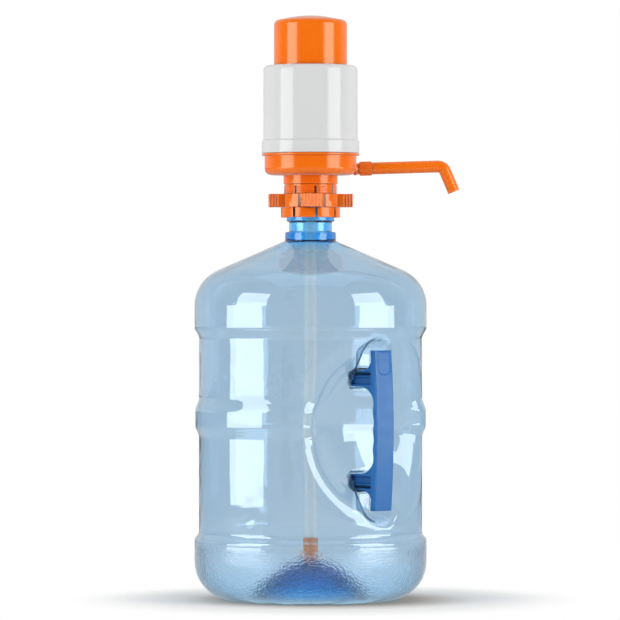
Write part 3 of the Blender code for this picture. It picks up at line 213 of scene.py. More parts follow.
def milkyPolyethylene():
    # Extruded low density polyethylene, milky: light spreads through its wall by a translucent part, and a
    # weak emission paints a glow on it, so the tube reads softly light.
    material, tree = newMaterial("extruded milky polyethylene")
    point = objectPoint(tree)
    drawn = addNode(tree, "ShaderNodeMapping", {"Vector": point, "Scale": (1.0, 1.0, 0.05)}).outputs[0]
    lines = noise(tree, drawn, 0.0014, 2)
    bump = addNode(tree, "ShaderNodeBump", {"Height": lines, "Strength": 1.0, "Distance": 0.00004})
    colour = mixColour(tree, noise(tree, point, 0.03, 2), linear("#F4F7F8"), linear("#EBF0F2"))
    # The emission is a painted glow: light the tube gives off of its own.
    surface = addNode(tree, "ShaderNodeBsdfPrincipled",
                      {"Base Color": colour, "Roughness": 0.4, "IOR": 1.4, "Normal": bump.outputs["Normal"],
                       "Emission Color": (1.0, 0.93, 0.9, 1.0), "Emission Strength": 0.25})
    glow = addNode(tree, "ShaderNodeBsdfTranslucent", {"Color": colour})
    solid = addNode(tree, "ShaderNodeMixShader", {0: 0.55, 1: surface.outputs[0], 2: glow.outputs[0]})
    clear = addNode(tree, "ShaderNodeBsdfTransparent")
    mix = addNode(tree, "ShaderNodeMixShader", {0: 0.32, 1: clear.outputs[0], 2: solid.outputs[0]})
    addNode(tree, "ShaderNodeOutputMaterial", {"Surface": mix.outputs[0]})
    return material


def drawnSteel():
    # Drawn spring steel: bright, with fine marks of the die along the wire.
    material, tree = newMaterial("drawn spring steel")
    point = objectPoint(tree)
    marks = noise(tree, point, 0.0006, 3)
    colour = mixColour(tree, marks, linear("#B9BCC0"), linear("#8E9297"))
    surface = addNode(tree, "ShaderNodeBsdfPrincipled",
                      {"Base Color": colour, "Metallic": 1.0,
                       "Roughness": ramp(tree, marks, 0.3, 0.7, 0.22, 0.34)})
    addNode(tree, "ShaderNodeOutputMaterial", {"Surface": surface.outputs[0]})
    return material


clearBlue = blownPolycarbonate()
solidBlue = mouldedPlastic("moulded blue polyethylene", "#146FB9", "#1069B0", 0.36, 0.0009, 0.00003, 0.03,
                           subsurface=0.15)
orange = mouldedPlastic("moulded orange ABS", "#FB7504", "#F67003", 0.16, 0.0012, 0.000004, 0.02,
                        tint="#FFF8DC", ior=1.6)
white = mouldedPlastic("moulded white ABS", "#DCDCDC", "#D8D9D9", 0.12, 0.0014, 0.000003, 0.03, ior=1.46)
# The foot is the same plastic, painted paler: a painted haze that stands in for the reflections off the
# jug's wall in front of it.
orangeWithPaintedHaze = mouldedPlastic("moulded orange ABS with painted haze", "#FFAA7C", "#FBA274", 0.3, 0.0012, 0.00001, 0.02)
milky = milkyPolyethylene()
innerPlastic = mouldedPlastic("moulded natural polypropylene", "#DAD9D2", "#CFCEC6", 0.4, 0.0011,
                              0.00003, 0.02)
bellowsPlastic = mouldedPlastic("blown low density polyethylene", "#E4E3DC", "#D8D6CC", 0.42, 0.002,
                                0.00008, 0.015, subsurface=0.2)
sealRubber = mouldedPlastic("moulded nitrile rubber", "#1C1D1F", "#26272A", 0.7, 0.0005, 0.00005, 0.01)
steel = drawnSteel()
print("materials made")


# Helpers for meshes

def newObject(name, mesh, material, place=axisPlace):
    obj = bpy.data.objects.new(name, mesh)
    scene.collection.objects.link(obj)
    mesh.transform(place)
    mesh.materials.clear()
    mesh.materials.append(material)
    return obj


def meshOf(name, bm, smooth=True):
    bmesh.ops.recalc_face_normals(bm, faces=bm.faces)
    for face in bm.faces:
        face.smooth = smooth
    mesh = bpy.data.meshes.new(name)
    bm.to_mesh(mesh)
    bm.free()
    return mesh


def roundedLine(corners, closed=True, steps=4, guard=0.00025):
    # Corners are (x, y, radius). Each becomes an arc with a guard point before and after it, so that
    # smooth shading stays inside the rounding and flat stretches stay flat.
    count = len(corners)
    spots = [Vector(corner[:2]) for corner in corners]
    halves, reaches = [], []
    for at in range(count):
        radius, half, reach = corners[at][2], pi / 2, 0.0
        if radius > 0 and (closed or at not in (0, count - 1)):
            before, after = spots[at - 1] - spots[at], spots[(at + 1) % count] - spots[at]
            half = before.angle(after) / 2
            if half < pi / 2 - 0.01:
                reach = min(radius / math.tan(half), before.length * 0.49, after.length * 0.49)
        halves.append(half)
        reaches.append(reach)
    points = []
    for at in range(count):
        here, half, reach = spots[at], halves[at], reaches[at]
        if reach == 0:
            points.append(tuple(here))
            continue
        before, after = spots[at - 1] - here, spots[(at + 1) % count] - here
        first, last = before.normalized(), after.normalized()
        centre = here + (first + last).normalized() * (reach / math.cos(half))
        start = here + first * reach - centre
        turn = start.angle_signed(here + last * reach - centre)
        if before.length - reach - reaches[at - 1] > 3 * guard:
            points.append(tuple(here + first * (reach + guard)))
        for step in range(steps + 1):
            angle = -turn * step / steps
            spoke = Vector((start.x * math.cos(angle) - start.y * math.sin(angle),
                            start.x * math.sin(angle) + start.y * math.cos(angle)))
            points.append(tuple(centre + spoke))
        if after.length - reach - reaches[(at + 1) % count] > 3 * guard:
            points.append(tuple(here + last * (reach + guard)))
    return points


def lathe(bm, line, segments=128, closed=True, place=Matrix()):
    # Turns a line of (radius, height) points about Z. A point on the axis becomes a single vertex.
    rings = []
    for radius, height in line:
        if radius < 1e-7:
            rings.append([bm.verts.new(place @ Vector((0, 0, height)))])
        else:
            rings.append([bm.verts.new(place @ Vector((radius * math.cos(math.tau * i / segments),
                                                       radius * math.sin(math.tau * i / segments), height)))
                          for i in range(segments)])
    pairs = list(zip(rings, rings[1:] + rings[:1])) if closed else list(zip(rings, rings[1:]))
    for low, high in pairs:
        for i in range(segments):
            j = (i + 1) % segments
            corners = [low[i % len(low)], low[j % len(low)], high[j % len(high)], high[i % len(high)]]
            unique = list(dict.fromkeys(corners))
            if len(unique) > 2:
                bm.faces.new(unique)
    return rings


def latheMesh(name, corners, segments=128, closed=True, steps=4, place=Matrix()):
    bm = bmesh.new()
    lathe(bm, roundedLine(corners, closed, steps), segments, closed, place)
    return meshOf(name, bm)


def slab(bm, outline, thickness, place):
    # A flat outline of (x, y) points, closed front and back, its thickness split about the plane.
    front = [bm.verts.new(place @ Vector((x, y, thickness / 2))) for x, y in outline]
    back = [bm.verts.new(place @ Vector((x, y, -thickness / 2))) for x, y in outline]
    bm.faces.new(front)
    bm.faces.new(list(reversed(back)))
    for i in range(len(outline)):
        j = (i + 1) % len(outline)
        bm.faces.new((front[i], back[i], back[j], front[j]))


def bake(obj):
    # The object's modifiers, made into its mesh.
    graph = bpy.context.evaluated_depsgraph_get()
    mesh = bpy.data.meshes.new_from_object(obj.evaluated_get(graph))
    obj.modifiers.clear()
    obj.data = mesh
    return obj


def repeatTree(cut):
    # Copies one small shape round the axis and joins it to the base piece, or cuts it out of it.
    tree = bpy.data.node_groups.new("roundTheAxis", "GeometryNodeTree")
    face = tree.interface
    face.new_socket("Geometry", in_out="INPUT", socket_type="NodeSocketGeometry")
    face.new_socket("Shape", in_out="INPUT", socket_type="NodeSocketObject")
    face.new_socket("Count", in_out="INPUT", socket_type="NodeSocketInt")
    face.new_socket("First angle", in_out="INPUT", socket_type="NodeSocketFloat")
    face.new_socket("Finish", in_out="INPUT", socket_type="NodeSocketMaterial")
    face.new_socket("Geometry", in_out="OUTPUT", socket_type="NodeSocketGeometry")
    given = addNode(tree, "NodeGroupInput")
    points = addNode(tree, "GeometryNodePoints", {"Count": given.outputs["Count"]})
    index = addNode(tree, "GeometryNodeInputIndex")
    share = addNode(tree, "ShaderNodeMath", {0: index.outputs[0], 1: given.outputs["Count"]},
                    operation="DIVIDE")
    turn = addNode(tree, "ShaderNodeMath",
                   {0: share.outputs[0], 1: math.tau, 2: given.outputs["First angle"]},
                   operation="MULTIPLY_ADD")
    angles = addNode(tree, "ShaderNodeCombineXYZ", {"Z": turn.outputs[0]})
    shape = addNode(tree, "GeometryNodeObjectInfo", {"Object": given.outputs["Shape"]})
    copies = addNode(tree, "GeometryNodeInstanceOnPoints",
                     {"Points": points.outputs[0], "Instance": shape.outputs["Geometry"],
                      "Rotation": angles.outputs[0]})
    real = addNode(tree, "GeometryNodeRealizeInstances", {"Geometry": copies.outputs[0]})
    if cut:
        both = addNode(tree, "GeometryNodeMeshBoolean", operation="DIFFERENCE", solver="EXACT")
        tree.links.new(given.outputs["Geometry"], both.inputs[0])
        tree.links.new(real.outputs[0], both.inputs[1])
    else:
        both = addNode(tree, "GeometryNodeJoinGeometry")
        tree.links.new(real.outputs[0], both.inputs[0])
        tree.links.new(given.outputs["Geometry"], both.inputs[0])
    finished = addNode(tree, "GeometryNodeSetMaterial", {"Geometry": both.outputs[0],
                                                         "Material": given.outputs["Finish"]})
    addNode(tree, "NodeGroupOutput", {"Geometry": finished.outputs[0]})
    return tree


cutTree = repeatTree(True)
joinTree = repeatTree(False)


# Stands a flat outline up, so that it faces out along X.
facing = Matrix(((0, 0, 1, 0), (1, 0, 0, 0), (0, 1, 0, 0), (0, 0, 0, 1)))


def repeatRound(obj, shapeMesh, count, firstAngle, material, tree):
    # The shape stands at the axis in its own mesh, so the copies only turn.
    shape = bpy.data.objects.new("shape", shapeMesh)
    scene.collection.objects.link(shape)
    modifier = obj.modifiers.new("Repeats", "NODES")
    modifier.node_group = tree
    keys = {item.name: item.identifier for item in tree.interface.items_tree
            if item.item_type == "SOCKET" and item.in_out == "INPUT"}
    modifier[keys["Shape"]] = shape
    modifier[keys["Count"]] = count
    modifier[keys["First angle"]] = firstAngle
    modifier[keys["Finish"]] = material
    bake(obj)
    bpy.data.objects.remove(shape, do_unlink=True)
    return obj


def settle(obj, body, slot, *nodes):
    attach(obj, body)
    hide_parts(*nodes)
    return obj


def sharpen(mesh, degrees):
    mesh.set_sharp_from_angle(angle=math.radians(degrees))


# Jug: a bottle of revolution with the hand pocket, the handle's channel and the leg sockets sunk in it

jug = {
    "radius": 0.135, "wall": 0.0018, "corner": 0.045, "shoulder": 0.342, "cone": math.radians(23.5),
    "recess": 0.0052, "middleInset": 0.001, "middleBottom": 0.2008, "middleTop": 0.2218,
    "middleLower": 0.0093, "middleUpper": 0.0116, "baseTop": 0.071, "baseChamfer": 0.0065,
    "upperBottom": 0.3157, "upperChamfer": 0.0096, "footOuter": 0.09, "footInner": 0.082,
    "puntRadius": 0.071, "puntHeight": 0.0442, "puntExtra": 0.009, "neckBottom": 0.417333,
    "beadRadius": 0.0296, "beadHeight": 0.0104, "grooveRadius": 0.0249, "crownBottom": 0.439733,
    "crownRadius": 0.0278,
    "mouth": 0.463933, "bore": 0.0224, "edge": 0.004,
}
grip = {
    "angle": math.radians(-50), "height": 0.1994, "depth": 0.058, "halfWidth": 0.101, "halfHeight": 0.086,
    "channelHalf": 0.0125, "channelReach": 0.0945, "channelFloor": 0.095, "channelCorner": 0.008,
    "draft": 0.3, "legEnd": 0.0773, "legOffset": 0.0595, "legHalf": 0.0095, "legWidth": 0.02, "gap": 0.0003,
    "socketTop": 0.13, "socketCorner": 0.001, "socketBlend": 0.0015, "rimBlend": 0.026,
    "channelBlend": 0.007, "fineSpan": 0.114, "movedSpan": 0.132, "movedHalf": 0.1125,
}


def jugSideLine():
    # The skin from the cone down to the foot ring, with every band edge rounded as blowing leaves it.
    s = jug
    radius, recess, edge = s["radius"], s["radius"] - s["recess"], s["edge"]
    middle = radius - s["middleInset"]
    corners = [
        (radius, s["shoulder"], 0), (radius, s["upperBottom"], edge),
        (recess, s["upperBottom"] - s["upperChamfer"], edge),
        (recess, s["middleTop"] + s["middleUpper"], edge), (middle, s["middleTop"], edge),
        (middle, s["middleBottom"], edge), (recess, s["middleBottom"] - s["middleLower"], edge),
        (recess, s["baseTop"] + s["baseChamfer"], edge), (radius, s["baseTop"], edge),
        (radius, s["corner"], 0),
    ]
    return roundedLine(corners, closed=False, steps=5, guard=0.0006)


def spaced(line, step):
    # The line with more points, none further apart than the step.
    points = [line[0]]
    for start, end in zip(line, line[1:]):
        parts = max(1, math.ceil(math.dist(start, end) / step))
        points += [(start[0] + (end[0] - start[0]) * i / parts, start[1] + (end[1] - start[1]) * i / parts)
                   for i in range(1, parts + 1)]
    return points


def arcPoints(centre, radius, start, end, count):
    return [(centre[0] + radius * math.cos(math.radians(start + (end - start) * i / count)),
             centre[1] + radius * math.sin(math.radians(start + (end - start) * i / count)))
            for i in range(count + 1)]


sideLine = jugSideLine()
sideHeights = np.array([point[1] for point in reversed(sideLine)])
sideRadii = np.array([point[0] for point in reversed(sideLine)])


def smallest(a, b, blend):
    near = np.maximum(blend - np.abs(a - b), 0) / blend
    return np.minimum(a, b) - near * near * blend / 4


def boxDistance(x, y, z, centre, half, rounding):
    gaps = [np.abs(value - middle) - reach + rounding
            for value, middle, reach in zip((x, y, z), centre, half)]
    outside = np.sqrt(sum(np.maximum(gap, 0) ** 2 for gap in gaps))
    inside = np.minimum(np.maximum.reduce(gaps), 0)
    return outside + inside - rounding


def skinDistance(points):
    # Below zero inside the bottle's outer form, above zero outside it and in the sunk places.
    s = grip
    x, y, z = points[..., 0], points[..., 1], points[..., 2]
    radius = np.hypot(x, y)
    skin = np.interp(z, sideHeights, sideRadii)
    above = np.interp(z + 0.0003, sideHeights, sideRadii)
    below = np.interp(z - 0.0003, sideHeights, sideRadii)
    tilt = (above - below) / 0.0006
    body = (radius - skin) / np.sqrt(1 + tilt * tilt)
    cos, sin = math.cos(s["angle"]), math.sin(s["angle"])
    out, side, up = x * cos + y * sin, y * cos - x * sin, z - s["height"]
    px, py, pz = (out - jug["radius"]) / s["depth"], side / s["halfWidth"], up / s["halfHeight"]
    length = np.sqrt(px * px + py * py + pz * pz)
    slope = np.sqrt((px / s["depth"]) ** 2 + (py / s["halfWidth"]) ** 2 + (pz / s["halfHeight"]) ** 2)
    pocket = length * (length - 1) / np.maximum(slope, 1e-6)
    # The channel's walls lean outwards, so that it leaves the mould.
    corner = boxDistance(side, up, out * 0, (0, 0, 0),
                         (s["channelHalf"], s["channelReach"], 1), s["channelCorner"])
    corner = (corner - (out - s["channelFloor"]) * s["draft"]) / math.hypot(1, s["draft"])
    channel = -smallest(-corner, out - s["channelFloor"], s["channelCorner"])
    body = -smallest(-body, pocket, s["rimBlend"])
    sunk = channel
    for way in (1, -1):
        low = s["legEnd"] - s["gap"]
        half = ((s["socketTop"] - low) / 2, s["legWidth"] / 2 + s["gap"], s["legHalf"] + s["gap"])
        socket = boxDistance(out, side, up, ((low + s["socketTop"]) / 2, 0, way * s["legOffset"]), half,
                             s["socketCorner"])
        sunk = smallest(sunk, socket, s["socketBlend"])
    return -smallest(-body, sunk, s["channelBlend"])


def skinNormal(points):
    step = 0.0002
    parts = []
    for axis in range(3):
        shift = np.zeros(3)
        shift[axis] = step
        parts.append(skinDistance(points + shift) - skinDistance(points - shift))
    normal = np.stack(parts, -1) / (2 * step)
    size = np.linalg.norm(normal, axis=-1, keepdims=True)
    return normal / np.maximum(size, 1e-9), size[..., 0]


def jugColumns():
    # Angles round the jug, close together over the pocket and wide apart behind it.
    fine, coarse = 0.0016 / jug["radius"], 0.0092 / jug["radius"]
    span = grip["fineSpan"] / jug["radius"]
    half, step = [0.0], fine
    while half[-1] < pi:
        half.append(half[-1] + step)
        if half[-1] > span:
            step = min(step * 1.25, coarse)
    near = [angle for angle in half if angle <= span]
    far = half[len(near) - 1:]
    stretch = (pi - near[-1]) / (far[-1] - far[0])
    far = [near[-1] + (angle - far[0]) * stretch for angle in far[1:]]
    side = near[1:] + far
    return np.array([-angle for angle in reversed(side)][1:] + [0.0] + side) + grip["angle"]


def jugMesh():
    s = jug
    angles = jugColumns()
    heights = [s["shoulder"], 0.330] + list(np.arange(0.3215, 0.0615, -0.0019))
    heights += [0.0595, 0.052, s["corner"]]
    side = [(float(np.interp(height, sideHeights, sideRadii)), float(height)) for height in heights]
    centre, corner = s["radius"] - s["corner"], s["corner"]
    coneStart = (centre + corner * math.sin(s["cone"]), s["shoulder"] + corner * math.cos(s["cone"]))
    shoulder = arcPoints((centre, s["shoulder"]), corner, 90 - math.degrees(s["cone"]), 0, 14)
    foot = arcPoints((centre, s["corner"]), corner, 0, -90, 16)
    beadTop = s["neckBottom"] + s["beadHeight"]
    neck = roundedLine([
        (s["bore"], s["mouth"], 0.0008), (s["crownRadius"], s["mouth"], 0.0012),
        (s["crownRadius"], s["crownBottom"], 0.0015), (s["grooveRadius"], s["crownBottom"], 0.0012),
        (s["grooveRadius"], beadTop, 0.0012), (s["beadRadius"], beadTop, 0.0018),
        (s["beadRadius"], s["neckBottom"], 0.0014), coneStart + (0,),
    ], closed=False, steps=4, guard=0.0004)[1:]
    # Two rows close to the bead keep the cone's shading straight.
    down = Vector((math.cos(s["cone"]), -math.sin(s["cone"])))
    cone = [(neck[-2][0] + down.x * reach, neck[-2][1] + down.y * reach) for reach in (0.0008, 0.003)]
    cone += spaced([cone[-1], coneStart], 0.008)[1:]
    punt = [(s["puntRadius"] * share, s["puntHeight"] * (1 - share * share))
            for share in (0.97, 0.9, 0.8, 0.7, 0.6, 0.5, 0.4, 0.3, 0.2, 0.1, 0.0)]
    ring = [(s["footOuter"] - 0.002, 0.0), (s["footInner"] + 0.002, 0.0), (s["footInner"], 0.0006),
            (s["puntRadius"] + 0.004, 0.0006)]
    thickened = len(neck) + len(cone) + len(shoulder) + len(side) + len(foot) + len(ring) - 3
    outer = [(s["bore"] + 0.0009, s["mouth"])] + neck[:-1] + cone + shoulder[1:] + side[1:] + foot[1:]
    outer += ring + punt
    # The same line a wall's thickness further in, with the bore straight up through the neck.
    thick = s["wall"]
    inside = []
    for at, point in enumerate(outer):
        before, after = outer[max(at - 1, 0)], outer[min(at + 1, len(outer) - 1)]
        along = Vector((after[0] - before[0], after[1] - before[1])).normalized()
        inwards = Vector((along.y, -along.x))
        if point[0] < 1e-6:
            inwards = Vector((0, 1))
        inside.append((point[0] + inwards.x * thick, point[1] + inwards.y * thick))
    first = len(neck)
    slopeTop = inside[first]
    boreLine = [(s["bore"], s["mouth"] - 0.0009), (s["bore"], s["crownBottom"]), (s["bore"], beadTop),
                (s["bore"], slopeTop[1] + 0.005), (s["bore"] + 0.0003, slopeTop[1] + 0.0039),
                (s["bore"] + 0.001, slopeTop[1] + 0.003), (s["bore"] + 0.0022, slopeTop[1] + 0.0022),
                (s["bore"] + 0.004, slopeTop[1] + 0.0012)]
    inner = boreLine + inside[first:]
    # The punt is much thicker than the wall, and all of that is added below it.
    outer[thickened:] = [(radius, height - s["puntExtra"] * (1 - (radius / s["puntRadius"]) ** 4))
                         for radius, height in outer[thickened:]]
    shown = range(first, len(outer) - 1)

    def grid(line):
        return np.array([[(radius * math.cos(angle), radius * math.sin(angle), height) for angle in angles]
                         for radius, height in line])

    outerGrid, innerGrid = grid(outer), grid(inner)
    # Only the rows and columns about the pocket are moved onto its sunk form.
    rows = [at for at in shown if abs(outer[at][1] - grip["height"]) < grip["movedHalf"]]
    turned = (angles - grip["angle"] + pi) % math.tau - pi
    columns = np.where(np.abs(turned) < grip["movedSpan"] / jug["radius"])[0]
    top, bottom = rows[0], rows[-1]
    block = outerGrid[top:bottom + 1][:, columns]
    flat = block[..., :2] / np.linalg.norm(block[..., :2], axis=-1, keepdims=True)
    reach = np.full(block.shape[:2], 0.1375)
    near = np.zeros(block.shape[:2], bool)
    for _ in range(260):
        point = np.concatenate([flat * reach[..., None], block[..., 2:]], -1)
        distance = skinDistance(point)
        near |= distance < 0.00002
        reach = np.where(near, reach, reach - np.clip(distance * 0.7, 0.00002, 0.001))
    block = np.concatenate([flat * reach[..., None], block[..., 2:]], -1)
    fixed = outerGrid[top:bottom + 1][:, columns]
    moved = np.linalg.norm(block - fixed, axis=-1) > 0.0004
    weight = moved.astype(float)
    for _ in range(10):
        weight[1:-1, 1:-1] = np.maximum(weight[1:-1, 1:-1], 0.82 * np.maximum.reduce([
            weight[:-2, 1:-1], weight[2:, 1:-1], weight[1:-1, :-2], weight[1:-1, 2:]]))
    weight[0] = weight[-1] = 0
    weight[:, 0] = weight[:, -1] = 0
    for _ in range(60):
        mean = block.copy()
        mean[1:-1, 1:-1] = (block[:-2, 1:-1] + block[2:, 1:-1] + block[1:-1, :-2] + block[1:-1, 2:]) / 4
        block = block + (mean - block) * (0.5 * weight[..., None])
        for _ in range(2):
            normal, size = skinNormal(block)
            pull = np.clip(skinDistance(block) / np.maximum(size, 0.3), -0.001, 0.001)
            block = block - normal * (pull * (weight > 0))[..., None]
    outerGrid[top:bottom + 1, columns[0]:columns[-1] + 1] = block
    normal, _ = skinNormal(block)
    within = innerGrid[top - first + len(boreLine):bottom + 1 - first + len(boreLine)]
    share = np.clip(weight * 3, 0, 1)[..., None]
    within[:, columns] = within[:, columns] * (1 - share) + (block - normal * thick) * share

    bm = bmesh.new()

    def addRows(points):
        made = []
        for row in points:
            if np.hypot(row[0][0], row[0][1]) < 1e-7:
                made.append([bm.verts.new(row[0])])
            else:
                made.append([bm.verts.new(point) for point in row])
        return made

    made = addRows(outerGrid)[::-1] + addRows(innerGrid)
    count = len(angles)
    for lowRow, highRow in zip(made, made[1:]):
        for i in range(count):
            j = (i + 1) % count
            corners = list(dict.fromkeys([lowRow[i % len(lowRow)], lowRow[j % len(lowRow)],
                                          highRow[j % len(highRow)], highRow[i % len(highRow)]]))
            if len(corners) > 2:
                bm.faces.new(corners)
    return meshOf("jugShell", bm)


jugShell = newObject("jugShell", jugMesh(), clearBlue)
settle(jugShell, "jug", "clear_blue_plastic", "jug_shell")
print("jug:", len(jugShell.data.polygons), "faces")


# Handle: a bowed bar with two ribbed legs

handle = {
    "front": 0.1333, "bow": 0.0043, "half": 0.0917, "width": 0.026, "thick": 0.008, "legWidth": 0.02,
    "legOffset": 0.0595, "legHalf": 0.0095, "end": 0.0773, "endCorner": 0.0088, "outerFlare": 0.016,
    "innerFlare": 0.026, "innerFlareHeight": 0.024, "rim": 0.0025, "web": 0.0046, "rib": 0.0018,
    "upperRecess": 0.0035, "tab": 0.0275, "tabStep": 0.0008, "tabInset": 0.0045, "tabDeep": 0.0012,
    "hollow": 0.0017, "hollowPitch": 0.021, "voxel": 0.0007,
}


def barFront(height):
    return handle["front"] - handle["bow"] * (height / handle["half"]) ** 2


def barBack(height):
    # Four shallow hollows for the fingers.
    s = handle
    depth = s["hollow"] if abs(height) < 2 * s["hollowPitch"] else 0
    return barFront(height) - s["thick"] + depth * math.sin(pi * height / s["hollowPitch"]) ** 2


def quarter(centre, radii, start, end, count=8):
    return [(centre[0] + radii[0] * math.cos(start + (end - start) * i / count),
             centre[1] + radii[1] * math.sin(start + (end - start) * i / count)) for i in range(count + 1)]


def legOutline(way):
    s = handle
    top, bottom = s["legOffset"] + s["legHalf"], s["legOffset"] - s["legHalf"]
    barEnd = s["half"] - 0.0014
    backEnd = barFront(barEnd) - s["thick"]
    innerEnd = bottom - s["innerFlareHeight"]
    backInner = barFront(innerEnd) - s["thick"]
    corner = s["end"] + s["endCorner"]
    points = [(backEnd + 0.003, barEnd)]
    points += quarter((backEnd - s["outerFlare"], barEnd), (s["outerFlare"], barEnd - top), 0, -pi / 2)
    points += quarter((corner, top - s["endCorner"]), (s["endCorner"], s["endCorner"]), pi / 2, pi, 6)
    points += quarter((corner, bottom + s["endCorner"]), (s["endCorner"], s["endCorner"]), pi, 1.5 * pi, 6)
    points += quarter((backInner - s["innerFlare"], innerEnd), (s["innerFlare"], s["innerFlareHeight"]),
                      pi / 2, 0)
    points.append((backInner + 0.003, innerEnd))
    return [(radius, way * height) for radius, height in points]


def handlePiece():
    s = handle
    upright = Matrix.Rotation(pi / 2, 4, "X")
    heights = [s["half"] * (i / 36 - 1) for i in range(73)]
    bar = [(barFront(h), h) for h in heights] + [(barBack(h), h) for h in reversed(heights)]
    body = bmesh.new()
    slab(body, bar, s["width"], upright)
    cutters = bmesh.new()
    low, high = s["end"] + s["rim"], s["front"] - s["bow"] - s["thick"] - s["rim"]
    outerHigh = s["legHalf"] - s["rim"]
    outerLow = outerHigh - s["upperRecess"]
    innerHigh = outerLow - s["rib"]
    innerLow = s["rim"] - s["legHalf"]
    depth = (s["legWidth"] - s["web"]) / 2 + 0.001
    for way in (1, -1):
        slab(body, legOutline(way), s["legWidth"], upright)
        for face in (1, -1):
            shift = Matrix.Translation((0, face * (s["web"] + depth) / 2, way * s["legOffset"])) @ upright
            for bottom, top in ((outerLow, outerHigh), (innerLow, innerHigh)):
                ends = sorted((way * bottom, way * top))
                box = roundedLine([(low, ends[0], 0.0015), (high, ends[0], 0.0015), (high, ends[1], 0.0015),
                                   (low, ends[1], 0.0015)], steps=3)
                slab(cutters, box, depth, shift)
    # The bar's upper part is a shallow raised tab with a rounded lower end.
    low, high, across = s["half"] - s["tab"], s["half"] - 0.0015, s["width"] / 2 - s["tabInset"]
    tab = roundedLine([(-across, low, 0.006), (across, low, 0.006), (across, high, 0.001),
                       (-across, high, 0.001)], steps=6)
    lean = math.atan2(barFront(low) - barFront(high), high - low)
    middle = (low + high) / 2
    reach = barFront(middle) + s["tabStep"] - s["tabDeep"]
    slab(body, tab, 2 * s["tabDeep"], Matrix.Translation((reach, 0, middle))
         @ Matrix.Rotation(-lean, 4, "Y") @ Matrix.Translation((0, 0, -middle)) @ facing)
    piece = newObject("handleGrip", meshOf("handleGrip", body), solidBlue, Matrix())
    cutter = bpy.data.objects.new("handleCutters", meshOf("handleCutters", cutters))
    scene.collection.objects.link(cutter)
    union = piece.modifiers.new("One skin", "REMESH")
    union.mode, union.voxel_size, union.use_smooth_shade = "VOXEL", s["voxel"], True
    cut = piece.modifiers.new("Recesses", "BOOLEAN")
    cut.operation, cut.object, cut.solver = "DIFFERENCE", cutter, "EXACT"
    again = piece.modifiers.new("Even skin", "REMESH")
    again.mode, again.voxel_size, again.use_smooth_shade = "VOXEL", s["voxel"], True
    soften = piece.modifiers.new("Soft edges", "SMOOTH")
    soften.factor, soften.iterations = 0.5, 4
    bake(piece)
    bpy.data.objects.remove(cutter, do_unlink=True)
    mesh = piece.data
    for polygon in mesh.polygons:
        polygon.use_smooth = True
    place = axisPlace @ Matrix.Rotation(grip["angle"], 4, "Z") @ Matrix.Translation((0, 0, grip["height"]))
    mesh.transform(place)
    mesh.materials.clear()
    mesh.materials.append(solidBlue)
    return piece


handleGrip = handlePiece()
settle(handleGrip, "jug", "solid_blue_plastic", "jug_handle")
print("handle:", len(handleGrip.data.polygons), "faces")


# Collet: slotted collar on the bottle's crown, with its skirt below the ring

collet = {
    "bottom": 0.444633, "length": 0.0492, "bore": 0.0283, "radius": 0.0305, "skirtRadius": 0.0344,
    "skirtHeight": 0.0117, "spigotWall": 0.0014, "neckLength": 0.0108, "beadRadius": 0.0312,
    "beadHeight": 0.0012, "ringHeight": 0.0153, "slots": 8, "slotAngle": math.radians(11.25),
    "slotWidth": 0.0032, "endWall": 0.0016, "threads": 3, "threadPitch": 0.0022, "threadDepth": 0.0006,
}


def colletPiece():
    s = collet
    spigot, shoulder = s["bore"] + s["spigotWall"], s["length"] - s["neckLength"]
    bead = s["skirtHeight"] + 0.0006 + s["ringHeight"]
    threads = []
    for turn in range(s["threads"], 0, -1):
        height = bead + s["beadHeight"] + turn * s["threadPitch"]
        threads += [(s["radius"], height + 0.0005, 0.0001),
                    (s["radius"] + s["threadDepth"], height, 0.0002),
                    (s["radius"], height - 0.0005, 0.0001)]
    corners = [
        (spigot, s["length"], 0.0003), (spigot, shoulder, 0.0003), (s["radius"], shoulder, 0.0004),
        *threads, (s["radius"], bead + s["beadHeight"], 0.0002),
        (s["beadRadius"], bead + s["beadHeight"] / 2, 0.0003),
        (s["radius"], bead, 0.0002), (s["radius"], s["skirtHeight"], 0.0003),
        (s["skirtRadius"], s["skirtHeight"], 0.0006), (s["skirtRadius"], 0, 0.0008),
        (s["bore"], 0, 0.0005), (s["bore"], s["length"], 0.0003),
    ]
    piece = newObject("colletCollar", latheMesh("colletCollar", corners, 144, steps=3), orange, Matrix())
    slot = bmesh.new()
    high = shoulder - s["endWall"]
    half = s["slotWidth"] / 2
    outline = roundedLine([(-half, -0.001, 0), (half, -0.001, 0), (half, high, 0.0009),
                           (-half, high, 0.0009)], steps=3)
    place = Matrix.Translation(((s["bore"] + s["skirtRadius"]) / 2, 0, 0)) @ facing
    slab(slot, outline, 2 * (s["skirtRadius"] - s["bore"]), place)
    repeatRound(piece, meshOf("slot", slot), s["slots"], s["slotAngle"], orange, cutTree)
    piece.data.transform(axisPlace @ Matrix.Translation((0, 0, s["bottom"])))
    sharpen(piece.data, 40)
    return piece


settle(colletPiece(), "pump", "orange_plastic", "collet")


# Lock ring: four grooved lobes with notches between them

ring = {
    "bottom": 0.456633, "height": 0.0153, "radius": 0.0345, "bore": 0.0308, "lobeRadius": 0.0486,
    "lobeHalf": 0.0125, "notch": 0.0036, "notchRadius": 0.0314, "groove": 0.0008, "sideGroove": 0.0014,
    "frontGrooves": 7, "sideGrooves": 3, "sidePitch": 0.0034, "edge": 0.0006, "turn": math.radians(2.75),
    "boreSides": 96,
}


